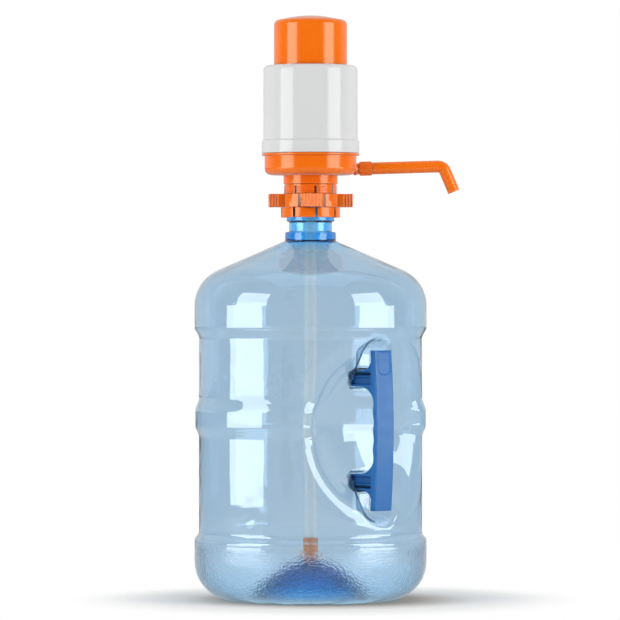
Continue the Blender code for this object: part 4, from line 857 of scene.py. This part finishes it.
def groovedRun(start, end, count, depth):
    # A straight run with soft round grooves across it.
    along = Vector((end[0] - start[0], end[1] - start[1]))
    length = along.length
    along.normalize()
    inwards = Vector((-along.y, along.x))
    points = []
    for at in range(count):
        for share in (0.08, 0.2, 0.32, 0.42, 0.5, 0.58, 0.68, 0.8, 0.92):
            across = (share - 0.5) / 0.34
            deep = depth * max(0.0, math.cos(across * pi / 2)) if abs(across) < 1 else 0
            spot = Vector(start) + along * (length * (at + share) / count) + inwards * deep
            points.append(tuple(spot))
    return points


def ringPiece():
    s = ring
    half, notchOuter = s["lobeHalf"], s["lobeHalf"] + s["notch"]
    corner = s["lobeRadius"] - s["groove"]
    grooved = corner - s["sideGrooves"] * s["sidePitch"]
    root = math.sqrt(s["notchRadius"] ** 2 - half ** 2)
    outerRoot = math.sqrt(s["notchRadius"] ** 2 - notchOuter ** 2)
    shoulder = math.sqrt(s["radius"] ** 2 - notchOuter ** 2)
    lobe = [(shoulder, -notchOuter), (outerRoot, -notchOuter), (root, -half), (grooved, -half)]
    lobe += groovedRun((grooved, -half), (corner, -half), s["sideGrooves"], s["sideGroove"])
    lobe += [(corner, -half), (s["lobeRadius"], -half + s["groove"])]
    lobe += groovedRun((s["lobeRadius"], -half + s["groove"]), (s["lobeRadius"], half - s["groove"]),
                       s["frontGrooves"], s["groove"])
    lobe += [(s["lobeRadius"], half - s["groove"]), (corner, half)]
    lobe += groovedRun((corner, half), (grooved, half), s["sideGrooves"], s["sideGroove"])
    lobe += [(grooved, half), (root, half), (outerRoot, notchOuter), (shoulder, notchOuter)]
    edge = math.atan2(notchOuter, shoulder)
    outline = []
    for at in range(4):
        angle = at * pi / 2
        for across, along in lobe:
            outline.append((across * math.cos(angle) - along * math.sin(angle),
                            across * math.sin(angle) + along * math.cos(angle)))
        for i in range(1, 12):
            between = angle + edge + (pi / 2 - 2 * edge) * i / 12
            outline.append((s["radius"] * math.cos(between), s["radius"] * math.sin(between)))
    bm = bmesh.new()
    count = len(outline)
    size = s["edge"]
    rows = []
    middle = [Vector(point) for point in outline]
    pulls = []
    for i in range(count):
        before, after = middle[i] - middle[i - 1], middle[(i + 1) % count] - middle[i]
        normal = (Vector((-before.y, before.x)).normalized() + Vector((-after.y, after.x)).normalized())
        pulls.append(normal.normalized() if normal.length > 0.3 else -middle[i].normalized())
    for height, pull in ((0, 1.0), (0.3, 0.3), (1.0, 0.0), (s["height"] / size - 1, 0.0),
                         (s["height"] / size - 0.3, 0.3), (s["height"] / size, 1.0)):
        up = Vector((0, 0, height * size))
        rows.append([bm.verts.new((middle[i] + pulls[i] * (size * pull * 0.6)).to_3d() + up)
                     for i in range(count)])
    for low, high in zip(rows, rows[1:]):
        for i in range(count):
            j = (i + 1) % count
            bm.faces.new((low[i], low[j], high[j], high[i]))
    bore = []
    sides = s["boreSides"]
    for height in (0, s["height"]):
        bore.append([bm.verts.new((s["bore"] * math.cos(math.tau * i / sides),
                                   s["bore"] * math.sin(math.tau * i / sides), height))
                     for i in range(sides)])
    for i in range(sides):
        j = (i + 1) % sides
        bm.faces.new((bore[0][j], bore[0][i], bore[1][i], bore[1][j]))
    for outside, inside in ((rows[0], bore[0]), (rows[-1], bore[1])):
        edges = []
        for loop in (outside, inside):
            edges += [bm.edges.get((loop[i], loop[(i + 1) % len(loop)])) for i in range(len(loop))]
        bmesh.ops.triangle_fill(bm, use_beauty=True, edges=edges)
    mesh = meshOf("lockRing", bm)
    sharpen(mesh, 35)
    place = axisPlace @ Matrix.Translation((0, 0, s["bottom"])) @ Matrix.Rotation(s["turn"], 4, "Z")
    return newObject("lockRing", mesh, orange, place)


settle(ringPiece(), "lock_ring", "orange_plastic", "lock_ring")
print("collet and ring made")


# Base housing: floor, bowl with rim and spigot, neck sleeve, riser and barb, and the outlet stub

base = {
    "under": 0.494133, "floor": 0.0028, "bowl": 0.0535, "wall": 0.0025, "corner": 0.0075, "height": 0.0224,
    "rim": 0.0566, "rimThick": 0.0026, "spigot": 0.0118, "neck": 0.0313, "neckLength": 0.0108,
    "sleeve": 0.028, "sleeveWall": 0.004, "sleeveLength": 0.0266, "riser": 0.0065, "riserLength": 0.0162,
    "barb": 0.0049, "barbLength": 0.02, "ledge": 0.003, "ledgeTop": 0.0145, "ledgeThick": 0.0027,
    "outlet": 0.0055, "tilt": math.radians(1.7), "stubRoot": 0.0064, "thread": 0.0069, "stubTip": 0.0049,
    "threadStart": 0.0573, "threadEnd": 0.062, "tipLength": 0.008,
}


def outletPlace(distance=0.0):
    start = Matrix.Translation((0, 0, base["under"] + base["outlet"]))
    turn = Matrix.Rotation(pi / 2 - base["tilt"], 4, "Y")
    return start @ turn @ Matrix.Translation((0, 0, distance))


def basePiece():
    s = base
    inner, innerCorner = s["bowl"] - s["wall"], s["corner"] - s["wall"]
    rimTop = s["height"] + s["rimThick"]
    spigotTop = rimTop + s["spigot"]
    neckOuter = s["neck"] + 0.0002
    neckBore = neckOuter - 0.0015
    sleeve, sleeveBore = s["sleeve"], s["sleeve"] - s["sleeveWall"]
    corners = [
        (0, s["floor"], 0), (inner, s["floor"], innerCorner),
        (inner, s["ledgeTop"] - s["ledgeThick"], 0.0003),
        (inner - s["ledge"], s["ledgeTop"] - s["ledgeThick"], 0.0003),
        (inner - s["ledge"], s["ledgeTop"], 0.0003), (inner, s["ledgeTop"], 0.0003),
        (inner, spigotTop, 0.0005), (s["bowl"], spigotTop, 0.0005), (s["bowl"], rimTop, 0.0003),
        (s["rim"], rimTop, 0.0007), (s["rim"], s["height"], 0.0007), (s["bowl"], s["height"], 0.0004),
        (s["bowl"], 0, s["corner"]), (neckOuter, 0, 0.0008), (neckOuter, -s["neckLength"] + 0.0003, 0.0004),
        (neckBore, -s["neckLength"] + 0.0003, 0.0003), (neckBore, 0, 0.0003), (sleeve, 0, 0.0003),
        (sleeve, -s["sleeveLength"], 0.0006), (sleeveBore, -s["sleeveLength"], 0.0006),
        (sleeveBore, 0, 0.0005), (s["riser"], 0, 0.0006), (s["riser"], -s["riserLength"], 0.0004),
        (s["barb"], -s["riserLength"], 0.0003), (s["barb"], -s["riserLength"] - s["barbLength"], 0.0008),
        (0, -s["riserLength"] - s["barbLength"], 0),
    ]
    bm = bmesh.new()
    lathe(bm, roundedLine(corners, closed=False, steps=4), 160, closed=False,
          place=Matrix.Translation((0, 0, s["under"])))
    # The stub with two turns of thread ridges, and its spigot inside the spout.
    start, threadStart, threadEnd = inner - 0.001, s["threadStart"], s["threadEnd"]
    tip = threadEnd + s["tipLength"]
    stub = [
        (0, tip, 0), (s["stubTip"], tip, 0.0005), (s["stubTip"], threadEnd, 0.0002),
        (s["thread"], threadEnd, 0.0004), (s["thread"], threadEnd - 0.0015, 0.0003),
        (s["thread"] - 0.0005, threadEnd - 0.0019, 0.0002), (s["thread"], threadEnd - 0.0025, 0.0003),
        (s["thread"], threadStart, 0.0004), (s["stubRoot"], threadStart, 0.0003),
        (s["stubRoot"], s["bowl"] + 0.0012, 0.0012), (s["stubRoot"] + 0.0011, s["bowl"] - 0.0002, 0.0004),
        (s["stubRoot"] + 0.0011, start, 0), (0, start, 0),
    ]
    lathe(bm, roundedLine(stub, closed=False, steps=3), 48, closed=False, place=outletPlace())
    return newObject("baseHousing", meshOf("baseHousing", bm), orange)


settle(basePiece(), "pump", "orange_plastic", "base_housing")


# White body: tube with rounded shoulder and the wider band over the bowl's spigot

body = {
    "bottom": 0.519433, "height": 0.1021, "radius": 0.0549, "wall": 0.0025, "shoulder": 0.007,
    "top": 0.0024, "bore": 0.043, "band": 0.0568, "bandHeight": 0.0154, "socket": 0.0538,
    "socketDepth": 0.014,
}


def bodyPiece():
    s = body
    inside = s["radius"] - s["wall"]
    corners = [
        (s["bore"], s["height"], 0.0007), (s["radius"], s["height"], s["shoulder"]),
        (s["radius"], s["bandHeight"], 0.0012), (s["band"], s["bandHeight"] - 0.0012, 0.0012),
        (s["band"], 0, 0.0009), (s["socket"], 0, 0.0004), (s["socket"], s["socketDepth"], 0.0003),
        (inside, s["socketDepth"], 0.0003), (inside, s["height"] - s["top"], s["shoulder"] - s["wall"]),
        (s["bore"], s["height"] - s["top"], 0.0007),
    ]
    return newObject("bodyShell", latheMesh("bodyShell", corners, 160, steps=8,
                                            place=Matrix.Translation((0, 0, s["bottom"]))), white)


settle(bodyPiece(), "pump", "white_plastic", "body_shell")


# Press cap: domed top, straight skirt, flange under the body's top, and a notched boss inside

cap = {
    "bottom": 0.612833, "height": 0.0667, "radius": 0.0426, "wall": 0.0022, "corner": 0.006,
    "rise": 0.0051, "flange": 0.0518, "flangeThick": 0.006, "chamfer": 0.0045, "boss": 0.017,
    "bossWall": 0.003, "bossDrop": 0.0078, "notches": 4, "notchWidth": 0.004, "notchDepth": 0.0025,
}


def capPiece():
    s = cap
    edge = s["radius"] - s["corner"]

    def dome(radius, drop):
        return s["height"] - drop - s["rise"] * (radius / edge) ** 2

    inner = s["radius"] - s["wall"]
    chamfer = s["chamfer"]
    outside = [(edge * i / 10, dome(edge * i / 10, 0)) for i in range(10)]
    slope = math.degrees(math.atan(2 * s["rise"] / edge))
    outside += arcPoints((edge - 0.0004, s["height"] - s["rise"] - s["corner"]), s["corner"] + 0.0004,
                         90 - slope * 0.5, 0, 10)
    outside += roundedLine([(s["radius"], s["height"] - 0.02, 0), (s["radius"], s["flangeThick"], 0.0008),
                            (s["flange"] - chamfer, s["flangeThick"], 0.0004),
                            (s["flange"], s["flangeThick"] - chamfer, 0.0006), (s["flange"], 0, 0.0005),
                            (inner, 0, 0.0004), (inner, s["height"] - 0.02, 0)], closed=False, steps=3)
    under = arcPoints((edge, s["height"] - s["rise"] - s["corner"]), s["corner"] - s["wall"], 0, 90, 6)
    bossLow = s["height"] - s["bossDrop"]
    bossBore = s["boss"] - s["bossWall"]
    under += roundedLine([(edge * 0.8, dome(edge * 0.8, s["wall"]), 0),
                          (s["boss"], dome(s["boss"], s["wall"]), 0.0005),
                          (s["boss"], bossLow, 0.0004), (bossBore, bossLow, 0.0004),
                          (bossBore, dome(bossBore, s["wall"]), 0.0005), (0, dome(0, s["wall"]), 0)],
                         closed=False, steps=3)
    bm = bmesh.new()
    lathe(bm, outside + under, 144, closed=False)
    piece = newObject("pressCap", meshOf("pressCap", bm), orange, Matrix())
    notch = bmesh.new()
    half, notchTop = s["notchWidth"] / 2, bossLow + s["notchDepth"]
    outline = [(-half, bossLow - 0.001), (half, bossLow - 0.001), (half, notchTop), (-half, notchTop)]
    place = Matrix.Translation((s["boss"] - s["bossWall"] / 2, 0, 0)) @ facing
    slab(notch, outline, 2 * s["bossWall"], place)
    repeatRound(piece, meshOf("notch", notch), s["notches"], pi / 4, orange, cutTree)
    piece.data.transform(axisPlace @ Matrix.Translation((0, 0, s["bottom"])))
    sharpen(piece.data, 40)
    return piece


settle(capPiece(), "plunger", "orange_plastic", "press_cap")
print("base, body and cap made")


# Spout nut and spout, both about the tilted outlet axis

nut = {
    "start": 0.0568, "length": 0.0148, "radius": 0.0082, "bore": 0.0072, "lip": 0.0065,
    "lipStart": 0.0663, "ridges": 18, "ridge": 0.0005, "ridgeWidth": 0.0013, "ridgeSunk": 0.0003,
}


def nutPiece():
    s = nut
    root = s["radius"] - s["ridge"]
    lipLow = s["lipStart"] - s["start"]
    corners = [
        (s["bore"], 0, 0.0002), (root, 0, 0.0004), (root, s["length"], 0.0005),
        (s["lip"], s["length"], 0.0003), (s["lip"], lipLow, 0.0002), (s["bore"], lipLow, 0.0002),
    ]
    piece = newObject("spoutNut", latheMesh("spoutNut", corners, 72, steps=2), orange, Matrix())
    ridge = bmesh.new()
    half, sunk = s["ridgeWidth"] / 2, root - s["ridgeSunk"]
    line = roundedLine([(sunk, -half, 0), (root - 0.0001, -half, 0), (s["radius"], -half * 0.45, 0.0003),
                        (s["radius"], half * 0.45, 0.0003), (root - 0.0001, half, 0), (sunk, half, 0)],
                       steps=2, guard=1.0)
    rows = []
    for height, share in ((0.0006, 0.0), (0.0010, 0.75), (0.0016, 1.0), (s["length"] - 0.0016, 1.0),
                          (s["length"] - 0.0010, 0.75), (s["length"] - 0.0006, 0.0)):
        rows.append([ridge.verts.new((sunk + (x - sunk) * share, y * (0.6 + 0.4 * share), height))
                     for x, y in line])
    for low, high in zip(rows, rows[1:]):
        for i in range(len(line)):
            j = (i + 1) % len(line)
            ridge.faces.new((low[i], low[j], high[j], high[i]))
    ridge.faces.new(list(reversed(rows[0])))
    ridge.faces.new(rows[-1])
    repeatRound(piece, meshOf("ridge", ridge), s["ridges"], 0.0, orange, joinTree)
    piece.data.transform(axisPlace @ outletPlace(s["start"]))
    return piece


settle(nutPiece(), "spout_nut", "orange_plastic", "spout_nut")

spout = {"start": 0.0642, "flange": 0.0069, "flangeEnd": 0.066, "neck": 0.0062, "tubeStart": 0.0719,
         "radius": 0.007, "bore": 0.0052, "reach": 0.1543, "bend": 0.009, "drop": 0.0322,
         "dropAngle": math.radians(67), "edge": 0.0006, "steps": 14}


def spoutPath(start, stop):
    # The middle line in the plane of the spout: x along the outlet axis, z across it.
    s = spout
    turn = s["dropAngle"] + base["tilt"]
    bendStart = s["reach"] - s["bend"] * math.tan(turn / 2)
    path = [(x, 0.0) for x in np.linspace(start, bendStart - 0.001, 14)]
    for i in range(s["steps"] + 1):
        angle = turn * i / s["steps"]
        path.append((bendStart + s["bend"] * math.sin(angle), s["bend"] * (math.cos(angle) - 1)))
    tangent = s["bend"] * math.tan(turn / 2)
    for distance in np.linspace(tangent + 0.001, s["drop"] + stop, 10):
        path.append((s["reach"] + distance * math.cos(turn), -distance * math.sin(turn)))
    return path


def spoutPiece():
    s = spout
    outer = spoutPath(s["tubeStart"], 0)
    inner = spoutPath(s["start"], 0)
    end, before = Vector(outer[-1]), Vector(outer[-2])
    along = (end - before).normalized()
    lip = s["edge"]
    path, radii = [], []
    for x, radius in ((s["start"], s["bore"]), (s["start"], s["flange"] - 0.0002),
                      (s["start"] + 0.0002, s["flange"]),
                      (s["flangeEnd"] - 0.0002, s["flange"]), (s["flangeEnd"], s["flange"] - 0.0002),
                      (s["flangeEnd"] + 0.00005, s["neck"]), (s["tubeStart"] - 0.00005, s["neck"]),
                      (s["tubeStart"], s["radius"] - 0.0003), (s["tubeStart"] + 0.0003, s["radius"])):
        path.append((x, 0.0))
        radii.append(radius)
    for point in outer[1:-1]:
        path.append(point)
        radii.append(s["radius"])
    for back, radius in ((lip, s["radius"]), (lip * 0.35, s["radius"] - lip * 0.25), (0, s["radius"] - lip),
                         (0, s["bore"] + 0.0003), (0.0003, s["bore"])):
        path.append(tuple(end - along * back))
        radii.append(radius)
    for point in reversed(inner[1:-1]):
        path.append(point)
        radii.append(s["bore"])
    bm = bmesh.new()
    sides = 48
    rings = []
    for at, (x, z) in enumerate(path):
        # The ring's tilt follows the middle line at that place, whichever way the wall runs there.
        middle = min(range(len(outer)), key=lambda i: math.dist(outer[i], (x, z)))
        ahead = Vector(outer[min(middle + 1, len(outer) - 1)]) - Vector(outer[max(middle - 1, 0)])
        tangent = Vector((ahead.x, 0, ahead.y)).normalized()
        if x < s["tubeStart"] + 0.002:
            tangent = Vector((1, 0, 0))
        across = Vector((0, 1, 0))
        up = tangent.cross(across).normalized()
        rings.append([bm.verts.new(Vector((x, 0, z)) + radii[at] * (math.cos(math.tau * i / sides) * across
                                                                   + math.sin(math.tau * i / sides) * up))
                      for i in range(sides)])
    for low, high in zip(rings, rings[1:] + rings[:1]):
        for i in range(sides):
            j = (i + 1) % sides
            bm.faces.new((low[i], low[j], high[j], high[i]))
    start = Matrix.Translation((0, 0, base["under"] + base["outlet"]))
    place = start @ Matrix.Rotation(-base["tilt"], 4, "Y")
    mesh = meshOf("spoutTube", bm)
    sharpen(mesh, 40)
    return newObject("spoutTube", mesh, orange, axisPlace @ place)


settle(spoutPiece(), "spout", "orange_plastic", "spout")
print("spout and nut made")


# Suction tube and its strainer foot

tube = {"radius": 0.007, "wall": 0.0018, "bottom": 0.0603, "top": 0.477633}
foot = {
    "bottom": 0.0463, "radius": 0.00865, "height": 0.0253, "socket": 0.0116, "bore": 0.005,
    "chamfer": 0.0012, "slots": 4, "slotWidth": 0.0026, "slotHeight": 0.005, "gap": 0.0003,
}


def tubePiece():
    s = tube
    inner = s["radius"] - s["wall"]
    corners = [(s["radius"], s["bottom"], 0.0003), (s["radius"], s["top"], 0.0003),
               (inner, s["top"], 0.0003), (inner, s["bottom"], 0.0003)]
    rounded = roundedLine(corners, steps=2)
    line = spaced(rounded + rounded[:1], 0.01)[:-1]
    bm = bmesh.new()
    lathe(bm, line, 40)
    return newObject("suctionTube", meshOf("suctionTube", bm), milky)


settle(tubePiece(), "pump", "milky_plastic", "suction_tube")


def footPiece():
    s = foot
    floorHeight = s["height"] - s["socket"]
    socket = tube["radius"] + s["gap"]
    corners = [(s["radius"], s["height"], 0.0004), (s["radius"], s["chamfer"], 0.0004),
               (s["radius"] - s["chamfer"], 0, 0.0004), (s["bore"], 0, 0.0004),
               (s["bore"], floorHeight, 0.0003), (socket, floorHeight, 0.0002),
               (socket, s["height"], 0.0003)]
    # The foot takes the orange with the painted haze.
    piece = newObject("tubeFoot", latheMesh("tubeFoot", corners, 56, steps=2), orangeWithPaintedHaze, Matrix())
    slot = bmesh.new()
    half = s["slotWidth"] / 2
    outline = roundedLine([(-half, -0.001, 0), (half, -0.001, 0), (half, s["slotHeight"], 0.001),
                           (-half, s["slotHeight"], 0.001)], steps=3)
    place = Matrix.Translation((s["radius"], 0, 0)) @ facing
    slab(slot, outline, s["radius"], place)
    repeatRound(piece, meshOf("strainerSlot", slot), s["slots"], pi / 4, orangeWithPaintedHaze, cutTree)
    piece.data.transform(axisPlace @ Matrix.Translation((0, 0, s["bottom"])))
    sharpen(piece.data, 40)
    return piece


settle(footPiece(), "pump", "orange_plastic", "tube_foot")


# Bellows and return spring, which the cap squashes as it goes down

bellows = {
    "bottom": 0.511733, "height": 0.1569, "lip": 0.043, "lipThick": 0.002, "fold": 0.0385, "bore": 0.031,
    "wall": 0.0012, "topBore": 0.028, "collar": 0.038, "folds": 7, "foldSteps": 12, "keep": 0.6813,
}
spring = {"radius": 0.024, "wire": 0.001, "turns": 9, "endPitch": 0.0027, "perTurn": 28}


def bellowsPiece():
    s = bellows
    top = s["height"] - s["wall"]
    steps = s["folds"] * s["foldSteps"]
    outside, inside = [], []
    for i in range(steps + 1):
        height = top + (s["lipThick"] - top) * i / steps
        # A fold's wall is nearly straight, with its crest and its root both rounded.
        phase = (i / s["foldSteps"]) % 1
        wave = 1 - abs(2 * phase - 1)
        wave = wave * wave * (3 - 2 * wave) * 0.45 + wave * 0.55
        radius = s["bore"] + s["wall"] + (s["fold"] - s["bore"] - s["wall"]) * wave
        outside.append((radius, height))
        inside.append((radius - s["wall"], height))
    inside[-1] = (s["bore"], 0.0015)
    line = [(s["collar"], s["height"]), (s["collar"], top)] + outside
    line += [(s["lip"], s["lipThick"]), (s["lip"], 0), (s["bore"], 0)] + inside[::-1][:-1]
    line += [(s["topBore"], top), (s["topBore"], s["height"])]
    bm = bmesh.new()
    lathe(bm, line, 96, place=Matrix.Translation((0, 0, s["bottom"])))
    return newObject("bellowsFolds", meshOf("bellowsFolds", bm), bellowsPlastic)


def springTree():
    # A wire of given radius along the base curve, closed at both ends.
    tree = bpy.data.node_groups.new("wireAlongCurve", "GeometryNodeTree")
    face = tree.interface
    face.new_socket("Geometry", in_out="INPUT", socket_type="NodeSocketGeometry")
    face.new_socket("Wire radius", in_out="INPUT", socket_type="NodeSocketFloat")
    face.new_socket("Finish", in_out="INPUT", socket_type="NodeSocketMaterial")
    face.new_socket("Geometry", in_out="OUTPUT", socket_type="NodeSocketGeometry")
    given = addNode(tree, "NodeGroupInput")
    curve = addNode(tree, "GeometryNodeMeshToCurve", {"Mesh": given.outputs["Geometry"]})
    circle = addNode(tree, "GeometryNodeCurvePrimitiveCircle", {"Resolution": 12,
                                                                "Radius": given.outputs["Wire radius"]})
    wire = addNode(tree, "GeometryNodeCurveToMesh",
                   {"Curve": curve.outputs[0], "Profile Curve": circle.outputs[0], "Fill Caps": True})
    smooth = addNode(tree, "GeometryNodeSetShadeSmooth", {"Geometry": wire.outputs[0]})
    real = addNode(tree, "GeometryNodeRealizeInstances", {"Geometry": smooth.outputs[0]})
    finished = addNode(tree, "GeometryNodeSetMaterial", {"Geometry": real.outputs[0],
                                                         "Material": given.outputs["Finish"]})
    addNode(tree, "NodeGroupOutput", {"Geometry": finished.outputs[0]})
    return tree


def springPiece():
    s = spring
    rise = bellows["height"] - 2 * s["wire"]
    pitch = (rise - 2 * s["endPitch"]) / (s["turns"] - 2)
    points = []
    for i in range(s["turns"] * s["perTurn"] + 1):
        turns = i / s["perTurn"]
        working = min(max(turns - 1, 0), s["turns"] - 2)
        height = s["wire"] + (turns - working) * s["endPitch"] + working * pitch
        angle = math.tau * turns
        points.append((s["radius"] * math.cos(angle), s["radius"] * math.sin(angle),
                       bellows["bottom"] + height))
    mesh = bpy.data.meshes.new("springCoil")
    mesh.from_pydata(points, [(i, i + 1) for i in range(len(points) - 1)], [])
    piece = newObject("springCoil", mesh, steel)
    tree = springTree()
    modifier = piece.modifiers.new("Wire", "NODES")
    modifier.node_group = tree
    keys = {item.name: item.identifier for item in tree.interface.items_tree
            if item.item_type == "SOCKET" and item.in_out == "INPUT"}
    modifier[keys["Wire radius"]] = s["wire"]
    modifier[keys["Finish"]] = steel
    return bake(piece)


bellowsFolds = settle(bellowsPiece(), "pump", "milky_plastic", "bellows")
springCoil = settle(springPiece(), "pump", "spring_steel", "return_spring")
for soft in (bellowsFolds, springCoil):
    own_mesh(soft)
print("tube, foot, bellows and spring made")


# Frame nodes that stay: hidden inside, but each has its own material

for name, material in (("neck_gasket", sealRubber), ("body_seal", sealRubber), ("spout_seal", sealRubber),
                       ("outlet_flap", sealRubber), ("intake_flap", sealRubber),
                       ("valve_plate", innerPlastic), ("bellows_ring", innerPlastic),
                       ("bellows_top_plate", innerPlastic)):
    node = frame["nodes"][name]
    for slot in node.material_slots:
        slot.material = material


# The photograph doesn't show the pump upside down in the shoulder, so reflections leave it out.
for piece in scene.objects:
    if piece.type == "MESH" and piece not in (jugShell, handleGrip) and piece not in frame["nodes"].values():
        piece.visible_glossy = False


# Studio: camera, two pairs of tall soft boxes beside it, one box above, a pale floor that fades to white

view = {"lens": 277.4, "sensor": 36.0, "shift": -0.0277, "side": -0.0006, "distance": 5.56, "height": 0.357}


def addCamera():
    data = bpy.data.cameras.new("camera")
    data.lens, data.sensor_width, data.shift_y = view["lens"], view["sensor"], view["shift"]
    data.clip_start, data.clip_end = 0.1, 60.0
    camera = bpy.data.objects.new("camera", data)
    scene.collection.objects.link(camera)
    camera.location = (axisX + view["side"], -view["distance"], view["height"])
    camera.rotation_euler = (pi / 2, 0, 0)
    scene.camera = camera


def addBox(name, azimuth, distance, height, wide, tall, radiance, aimHeight):
    # Azimuth 0 is the camera's side, and grows to the right. A lamp of W watts and area A shows the
    # radiance W / (pi A).
    data = bpy.data.lights.new(name, "AREA")
    data.shape, data.size, data.size_y = "RECTANGLE", wide, tall
    data.energy = radiance * pi * wide * tall
    lamp = bpy.data.objects.new(name, data)
    scene.collection.objects.link(lamp)
    angle = math.radians(azimuth)
    lamp.location = (axisX + distance * math.sin(angle), -distance * math.cos(angle), height)
    aim = Vector((axisX, 0, aimHeight)) - lamp.location
    lamp.rotation_euler = aim.to_track_quat("-Z", "Y").to_euler()
    return lamp


studio = {
    "radiance": 4.5, "distance": 2.0, "lowAzimuth": 68.5, "lowWide": 1.5, "highAzimuth": 60.0,
    "highWide": 1.22, "bottom": 0.02, "split": 0.42, "top": 1.6, "above": 1.2, "topHeight": 2.6,
    "topWide": 2.2, "topBack": 0.05, "through": 1.0, "mirror": 0.12, "wall": 0.72, "fill": 0.25,
    "paintedShadowStart": 0.09, "paintedShadowEnd": 0.19, "fadeStart": 0.17, "fadeEnd": 0.31,
}

addCamera()
for side, way in (("Right", 1), ("Left", -1)):
    for level, low, high in (("low", studio["bottom"], studio["split"]),
                             ("high", studio["split"], studio["top"])):
        middle = (low + high) / 2
        addBox(level + "Box" + side, way * studio[level + "Azimuth"], studio["distance"], middle,
               studio[level + "Wide"], high - low, studio["radiance"], middle)
boxTop = addBox("boxTop", 0, studio["topBack"], studio["topHeight"], studio["topWide"], studio["topWide"],
                studio["above"], 0)
# Nothing bright above is mirrored in the cap or the shoulder of the photographed pump.
boxTop.visible_glossy = False


def studioAir():
    # White behind everything that is looked at or looked through, greyer in reflections and as fill.
    world = bpy.data.worlds.new("studioAir")
    scene.world = world
    world.use_nodes = True
    tree = world.node_tree
    tree.nodes.clear()
    path = addNode(tree, "ShaderNodeLightPath")
    coordinates = addNode(tree, "ShaderNodeTexCoord")
    way = addNode(tree, "ShaderNodeSeparateXYZ", {0: coordinates.outputs["Generated"]})
    # Reflections show the white wall behind the object, and the dim room on the camera's side.
    towards = addNode(tree, "ShaderNodeMath", {0: way.outputs["Z"], 1: 0.4, 2: way.outputs["Y"]},
                      operation="MULTIPLY_ADD").outputs[0]
    wall = addNode(tree, "ShaderNodeMapRange", {"Value": towards, "From Min": 0.0, "From Max": 0.65,
                                                "To Min": studio["mirror"], "To Max": studio["wall"]},
                   interpolation_type="SMOOTHSTEP").outputs["Result"]
    air = studio["fill"]
    for ray, shown in (("Is Glossy Ray", wall), ("Is Transmission Ray", studio["through"]),
                       ("Is Camera Ray", 1.0)):
        air = addNode(tree, "ShaderNodeMix", {0: path.outputs[ray], 2: air, 3: shown}).outputs[0]
    air = addNode(tree, "ShaderNodeBackground", {"Color": (1, 1, 1, 1), "Strength": air})
    addNode(tree, "ShaderNodeOutputWorld", {"Surface": air.outputs[0]})


def studioFloor():
    bm = bmesh.new()
    lathe(bm, [(0, 0), (0.2, 0), (0.5, 0), (1.4, 0), (4, 0), (12, 0)], 96, closed=False)
    mesh = meshOf("studioFloor", bm)
    material, tree = newMaterial("matt white paper")
    point = objectPoint(tree)
    flat = addNode(tree, "ShaderNodeVectorMath", {0: point, 1: (1, 1, 0)}, operation="MULTIPLY").outputs[0]
    away = addNode(tree, "ShaderNodeVectorMath", {0: flat}, operation="LENGTH").outputs["Value"]

    def smoothAway(start, end):
        return addNode(tree, "ShaderNodeMapRange",
                       {"Value": away, "From Min": studio[start], "From Max": studio[end]},
                       interpolation_type="SMOOTHSTEP").outputs["Result"]

    fade = smoothAway("fadeStart", "fadeEnd")
    # Close about the object the paper carries a painted shadow, a darker warm grey where little light gets
    # in. Only the camera sees that.
    path = addNode(tree, "ShaderNodeLightPath")
    unseen = mathNode(tree, "SUBTRACT", 1.0, path.outputs["Is Camera Ray"])
    near = mathNode(tree, "MAXIMUM", smoothAway("paintedShadowStart", "paintedShadowEnd"), unseen)
    paperTint = mixColour(tree, noise(tree, point, 0.002, 3), linear("#F4F4F4"), linear("#EFEFF0"))
    # The painted shadow's colour is mixed into the paper's own colour.
    tint = mixColour(tree, near, linear("#BDB4AC"), paperTint)
    paper = addNode(tree, "ShaderNodeBsdfDiffuse", {"Color": tint, "Roughness": 0.6})
    glow = addNode(tree, "ShaderNodeEmission", {"Color": (1, 1, 1, 1), "Strength": 1.0})
    seen = mathNode(tree, "MULTIPLY", path.outputs["Is Camera Ray"], fade)
    amount = mathNode(tree, "MAXIMUM", seen, path.outputs["Is Transmission Ray"])
    mix = addNode(tree, "ShaderNodeMixShader", {0: amount, 1: paper.outputs[0], 2: glow.outputs[0]})
    addNode(tree, "ShaderNodeOutputMaterial", {"Surface": mix.outputs[0]})
    obj = newObject("studioFloor", mesh, material, axisPlace)
    obj.location.z = -0.0002


studioAir()
studioFloor()
scene.view_settings.view_transform = "Standard"
print("studio made")
